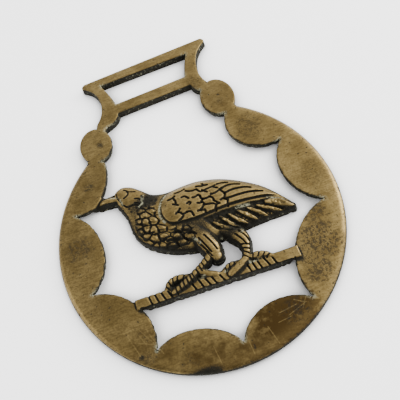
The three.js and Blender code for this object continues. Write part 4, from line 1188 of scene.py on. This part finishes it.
def scratch_group():
    """Mask of one scratch: distance from the line from its start along its run, over a ragged
    width. The nearest place on the line is at (away . run) / (run . run), kept from 0 to 1."""
    group, given, mask = mask_group("Scratch", {
        "Place": (0, 0, 0), "Start": (0, 0, 0), "Run": (1, 0, 0), "Width": 0.2,
    })
    place, run = given["Place"], given["Run"]
    away = vector_node(group, "SUBTRACT", {0: place, 1: given["Start"]})
    length = vector_node(group, "DOT_PRODUCT", {0: run, 1: run}, "Value")
    along = vector_node(group, "DOT_PRODUCT", {0: away, 1: run}, "Value")
    share = math_node(group, "DIVIDE", along, length, clamp=True)
    nearest = vector_node(group, "SCALE", {0: run, 3: share})
    gap = vector_node(group, "DISTANCE", {0: away, 1: nearest}, "Value")
    ragged = times(group, noise_node(group, place, 1.1, 2.0), given["Width"])
    group.links.new(remap(group, math_node(group, "DIVIDE", gap, ragged), 1.0, 0.3), mask)
    return group


def patches(tree, place, group, rows):
    """All patches of one kind, each at its strength, on the face's own height."""
    masks = []
    for x, y, radius, strength in rows:
        values = {"Place": place, "Middle": (x, y, PLATE_THICKNESS), "Radius": radius}
        patch = add_node(tree, "ShaderNodeGroup", values, node_tree=group)
        masks.append(times(tree, patch.outputs["Mask"], strength))
    return largest(tree, masks)


def scratches(tree, place):
    """All scratches, on the face's own height."""
    group = scratch_group()
    masks = []
    for x, y, across, up, width in SCRATCHES:
        values = {
            "Place": place, "Start": (x, y, PLATE_THICKNESS), "Run": (across, up, 0.0),
            "Width": width * SCRATCH_WIDTH,
        }
        masks.append(add_node(tree, "ShaderNodeGroup", values, node_tree=group).outputs["Mask"])
    return times(tree, largest(tree, masks), SCRATCH_STRENGTH)


def brass_material(look):
    """Aged brass: faces lightened on ridges by wear and a painted highlight, near-black walls,
    grooves darkened by dirt and painted shade, pale residue and pitted patches.
    """
    material = bpy.data.materials.new("aged_brass")
    material.use_nodes = True
    tree = material.node_tree
    tree.nodes.clear()
    place = add_node(tree, "ShaderNodeTexCoord").outputs["Object"]
    place = vector_node(tree, "SCALE", {0: place, 3: 1 / MM})
    grime_and_shade, polish, wall, rubbed_and_lit = (
        add_node(tree, "ShaderNodeAttribute", attribute_name=name).outputs["Fac"]
        for name in ("grime_and_shade", "residue", "wall", "wear_and_highlight")
    )
    fine = noise_node(tree, place, 2.2, 5.0)
    group = patch_group()
    pitted = patches(tree, place, group, PATCHES)
    stained = patches(tree, place, group, STAINS)

    # Dark: pits in the patches and a few single dots, dirt and painted shade, and the cast walls
    specks = remap(tree, noise_node(tree, place, 1.5, 3.0, 0.7), 0.53, 0.44)
    dots = remap(tree, noise_node(tree, place, 0.9, 1.0), 0.31, 0.27)
    pits = largest(tree, [times(tree, specks, pitted, clamp=True), dots])
    grain = remap(tree, noise_node(tree, place, 6.0, 2.0), 0.3, 0.7, 1.5, 0.6)
    # Dirt and painted shade, broken up by grain
    grime_and_shade = remap(tree, times(tree, grime_and_shade, grain), 0.14, 0.52)
    dirt_and_shade = largest(tree, [grime_and_shade, remap(tree, wall, 0.45, 0.75)])
    dark = largest(tree, [dirt_and_shade, times(tree, pits, 0.7)])

    # Metal: two tones in broad areas, brown stains, scratches, ridges lightened by wear and a
    # painted highlight, fine mottling
    broad = remap(tree, noise_node(tree, place, 0.12, 3.0), 0.35, 0.65)
    metal = mix_colour(tree, broad, (*look.deep_brass, 1), (*look.bright_brass, 1))
    stained = largest(tree, [times(tree, pitted, 0.5), stained])
    cloudy = remap(tree, noise_node(tree, place, 0.5, 5.0), 0.3, 0.6, 0.5, 1.0)
    metal = mix_colour(tree, times(tree, stained, cloudy), metal, (*look.brown_patina, 1))
    metal = mix_colour(tree, scratches(tree, place), metal, (*look.bright_brass, 1))
    # Convex ridges lightened: wear and a painted highlight
    metal = mix_colour(tree, times(tree, rubbed_and_lit, 0.6), metal, (*look.polished_and_lit_brass, 1))
    streaks = {"Vector": place, "Rotation": (0, 0, 0.5), "Scale": (0.5, 3.0, 1.0)}
    streaks = add_node(tree, "ShaderNodeMapping", streaks).outputs["Vector"]
    brushed = times(tree, noise_node(tree, streaks, 1.0, 4.0), 0.5)
    mottle = math_node(tree, "ADD", brushed, times(tree, fine, 0.5))
    mottle = remap(tree, mottle, 0.38, 0.60, 0.5, 0.0)
    metal = mix_colour(tree, mottle, metal, (*look.brown_patina, 1))

    # Pale residue: on its own mask, and as specks on dirt and painted shade, mostly on the walls
    specks = remap(tree, noise_node(tree, place, 1.7, 4.0), 0.57, 0.66)
    specks = times(tree, specks, remap(tree, wall, 0.3, 0.7, 0.12, 1.0))
    specks = times(tree, times(tree, specks, dirt_and_shade), 0.45)
    residue = largest(tree, [specks, times(tree, polish, remap(tree, fine, 0.44, 0.54))])
    # Dark colour for dirt, painted shade, pits and the cast walls
    colour = mix_colour(tree, dark, metal, (*look.grime_and_shade, 1))
    colour = mix_colour(tree, residue, colour, (*look.residue, 1))

    dark = largest(tree, [dark, residue])
    rough = remap(tree, fine, 0.3, 0.7, look.roughness - 0.06, look.roughness + 0.08)
    rough = math_node(tree, "ADD", rough, times(tree, dark, 0.35), clamp=True)
    lumps = math_node(tree, "ADD", noise_node(tree, place, 1.6, 4.0), times(tree, pits, -1.2))
    lumps = times(tree, lumps, remap(tree, wall, 0.4, 0.9, 0.08, 0.5))
    bump = {"Height": lumps, "Strength": 1.0, "Distance": BUMP_DEPTH * MM}
    bump = add_node(tree, "ShaderNodeBump", bump)
    shader = add_node(tree, "ShaderNodeBsdfPrincipled", {
        "Base Color": colour, "Roughness": rough, "Normal": bump.outputs["Normal"],
        "Metallic": remap(tree, dark, 0.0, 1.0, 1.0, 0.15), "Specular IOR Level": 0.12,
    })
    add_node(tree, "ShaderNodeOutputMaterial", {"Surface": shader.outputs["BSDF"]})
    return material


def floor_material(look):
    """Pale matt floor that glows a little; the glow is dimmed by ambient occlusion where something
    lies close to it, as a painted contact shadow.
    """
    material = bpy.data.materials.new("pale_floor")
    material.use_nodes = True
    tree = material.node_tree
    shader = tree.nodes["Principled BSDF"]
    shader.inputs["Base Color"].default_value = (*look.floor, 1)
    near = add_node(tree, "ShaderNodeAmbientOcclusion", {"Distance": SHADOW_REACH * MM})
    # The glow is dimmed near the casting: a painted contact shadow
    clear = remap(tree, near.outputs["AO"], 0.5, 1.0)
    glow = mix_colour(tree, clear, (0, 0, 0, 1), (*look.floor, 1))
    tree.links.new(glow, shader.inputs["Emission Color"])
    shader.inputs["Emission Strength"].default_value = look.floor_glow
    shader.inputs["Roughness"].default_value = 0.9
    return material


# Settings, operators and panel

def length_property(name, description, default):
    """A length, given in millimetres and kept in metres."""
    return FloatProperty(
        name=name, description=description, default=default * MM, min=0.0, unit="LENGTH",
        precision=5,
    )


def number_property(name, description, default, **limits):
    """A plain number that isn't below zero."""
    return FloatProperty(name=name, description=description, default=default, min=0.0, **limits)


def colour_property(name, description, default):
    """A colour as three shares of light."""
    return FloatVectorProperty(
        name=name, description=description, default=default, subtype="COLOR", size=3, min=0, max=1,
    )


class HorseBrassLook(bpy.types.PropertyGroup):
    """Sizes, colours and finish of the brass and of its stage."""

    edge_rounding: length_property("Edge rounding", "Radius of the face's edges", EDGE_ROUNDING)
    edge_chips: length_property("Edge chips", "Depth of the nicks along the edges", EDGE_CHIPS)
    wall_roughness: length_property("Wall roughness", "Height of the walls' lumps", WALL_ROUGHNESS)
    undercut: length_property("Undercut", "How far the walls lean in to the back", UNDERCUT)
    bright_brass: colour_property("Bright brass", "Polished face", (0.262, 0.188, 0.071))
    # Colour of ridges lightened by wear and a painted highlight
    polished_and_lit_brass: colour_property("Worn brass", "Ridges that are rubbed bright", (0.42, 0.295, 0.108))
    deep_brass: colour_property("Deep brass", "Duller parts of the face", (0.165, 0.115, 0.040))
    brown_patina: colour_property("Brown patina", "Old worn places", (0.052, 0.031, 0.010))
    # Dark colour of the walls, pits, dirt and painted shade
    grime_and_shade: colour_property("Grime", "Walls and grooves", (0.013, 0.012, 0.008))
    residue: colour_property("Residue", "Old polish left in the corners", (0.33, 0.32, 0.21))
    roughness: number_property("Roughness", "Roughness of the worn face", 0.42, max=1.0)
    floor: colour_property("Floor", "The pale floor", (0.93, 0.93, 0.93))
    floor_glow: number_property("Floor glow", "Light that the floor gives off itself", 2.0)
    key_power: number_property("Key light", "Power of the soft lights", 1.5, unit="POWER")
    sky: number_property("Sky", "Strength of the light from all round", 1.1)


class HORSEBRASS_OT_casting(bpy.types.Operator):
    """Build the cast brass in place of its plain solid"""

    bl_idname = "horse_brass.casting"
    bl_label = "Make casting"

    def execute(self, context):
        look = context.scene.horse_brass_look
        verts, faces, masks = casting_mesh(look)
        piece = make_piece("brass_casting", verts, faces, masks)
        piece.data.materials.append(brass_material(look))
        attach(piece, "root")
        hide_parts("horse_brass")
        return {"FINISHED"}


FLOOR_HALF, FLOOR_DROP = 1500.0, 0.02
CAMERA_PLACE = np.array([1.98, -54.46, 120.75])
CAMERA_RIGHT = np.array([0.9391, -0.3091, -0.1504])
CAMERA_UP = np.array([0.3437, 0.8365, 0.4267])
CAMERA_SENSOR, CAMERA_LENS = 36.0, 45.0
BRIGHT_SIDE = (0.88, 0.22, 0.42)  # the way towards the brighter side of the sky
SKY_RANGE, SKY_LEVELS = (0.03, 0.78), (0.55, 1.75)
LIGHTS = [  # name, place in millimetres, size, share of the key power
    ("left", (-430, 40, 250), 300, 0.5),
    ("key", (-60, 420, 110), 240, 0.2),
    ("side", (340, 90, 150), 220, 1.1),
]


def aim(thing, place, target=(0, 5, 0)):
    """Puts a light at a place so that it faces the target."""
    back = np.array(place, float) - target
    back /= np.linalg.norm(back)
    right = np.cross((0, 1, 0.01), back)
    right /= np.linalg.norm(right)
    set_pose(thing, place, right, np.cross(back, right), back)


def set_pose(thing, place, right, up, back):
    """Turns and moves an object so that its axes point right, up and back."""
    pose = np.eye(4)
    pose[:3] = np.column_stack([right, up, back, np.array(place) * MM])
    thing.matrix_world = Matrix(pose.tolist())


class HORSEBRASS_OT_stage(bpy.types.Operator):
    """Add the floor, the lights and the camera"""

    bl_idname = "horse_brass.stage"
    bl_label = "Make stage"

    def execute(self, context):
        look = context.scene.horse_brass_look
        corners = np.array([(-1, -1), (1, -1), (1, 1), (-1, 1)]) * FLOOR_HALF
        corners = np.column_stack([corners, [-FLOOR_DROP] * 4])
        floor = make_piece("floor", corners, [(0, 1, 2, 3)], {})
        floor.data.materials.append(floor_material(look))
        for name, place, size, share in LIGHTS:
            light = bpy.data.lights.new(name, "AREA")
            light.shape = "DISK"
            light.size = size * MM
            light.energy = look.key_power * share
            lamp = bpy.data.objects.new(name, light)
            context.scene.collection.objects.link(lamp)
            aim(lamp, place)
        world = bpy.data.worlds.new("soft_sky")
        world.use_nodes = True
        sky = world.node_tree
        ways = add_node(sky, "ShaderNodeTexCoord").outputs["Generated"]
        towards = vector_node(sky, "DOT_PRODUCT", {0: ways, 1: BRIGHT_SIDE}, "Value")
        dim, bright = SKY_LEVELS
        strength = remap(sky, towards, *SKY_RANGE, look.sky * dim, look.sky * bright)
        sky.nodes["Background"].inputs["Color"].default_value = (1, 1, 1, 1)
        sky.links.new(strength, sky.nodes["Background"].inputs["Strength"])
        context.scene.world = world
        lens = bpy.data.cameras.new("camera")
        lens.sensor_width = CAMERA_SENSOR
        lens.lens = CAMERA_LENS
        lens.clip_start = 0.01
        camera = bpy.data.objects.new("camera", lens)
        context.scene.collection.objects.link(camera)
        set_pose(camera, CAMERA_PLACE, CAMERA_RIGHT, CAMERA_UP, np.cross(CAMERA_RIGHT, CAMERA_UP))
        context.scene.camera = camera
        return {"FINISHED"}


class HORSEBRASS_PT_panel(bpy.types.Panel):
    """Settings and buttons of the horse brass"""

    bl_label = "Horse brass"
    bl_idname = "HORSEBRASS_PT_panel"
    bl_space_type = "VIEW_3D"
    bl_region_type = "UI"
    bl_category = "Horse brass"

    def draw(self, context):
        look = context.scene.horse_brass_look
        for key in look.bl_rna.properties.keys():
            if key not in ("rna_type", "name"):
                self.layout.prop(look, key)
        self.layout.operator("horse_brass.casting")
        self.layout.operator("horse_brass.stage")


CLASSES = (HorseBrassLook, HORSEBRASS_OT_casting, HORSEBRASS_OT_stage, HORSEBRASS_PT_panel)


def register():
    """Adds the classes and the settings to Blender."""
    for cls in CLASSES:
        bpy.utils.register_class(cls)
    bpy.types.Scene.horse_brass_look = PointerProperty(type=HorseBrassLook)


def unregister():
    """Takes them away again."""
    del bpy.types.Scene.horse_brass_look
    for cls in reversed(CLASSES):
        bpy.utils.unregister_class(cls)


def main():
    """Builds everything."""
    register()
    bpy.ops.horse_brass.casting()
    bpy.ops.horse_brass.stage()


def plain(bounds):
    """Bounds as lists of plain numbers."""
    return [[float(v) for v in corner] for corner in bounds]


if __name__ == "__main__":
    main()
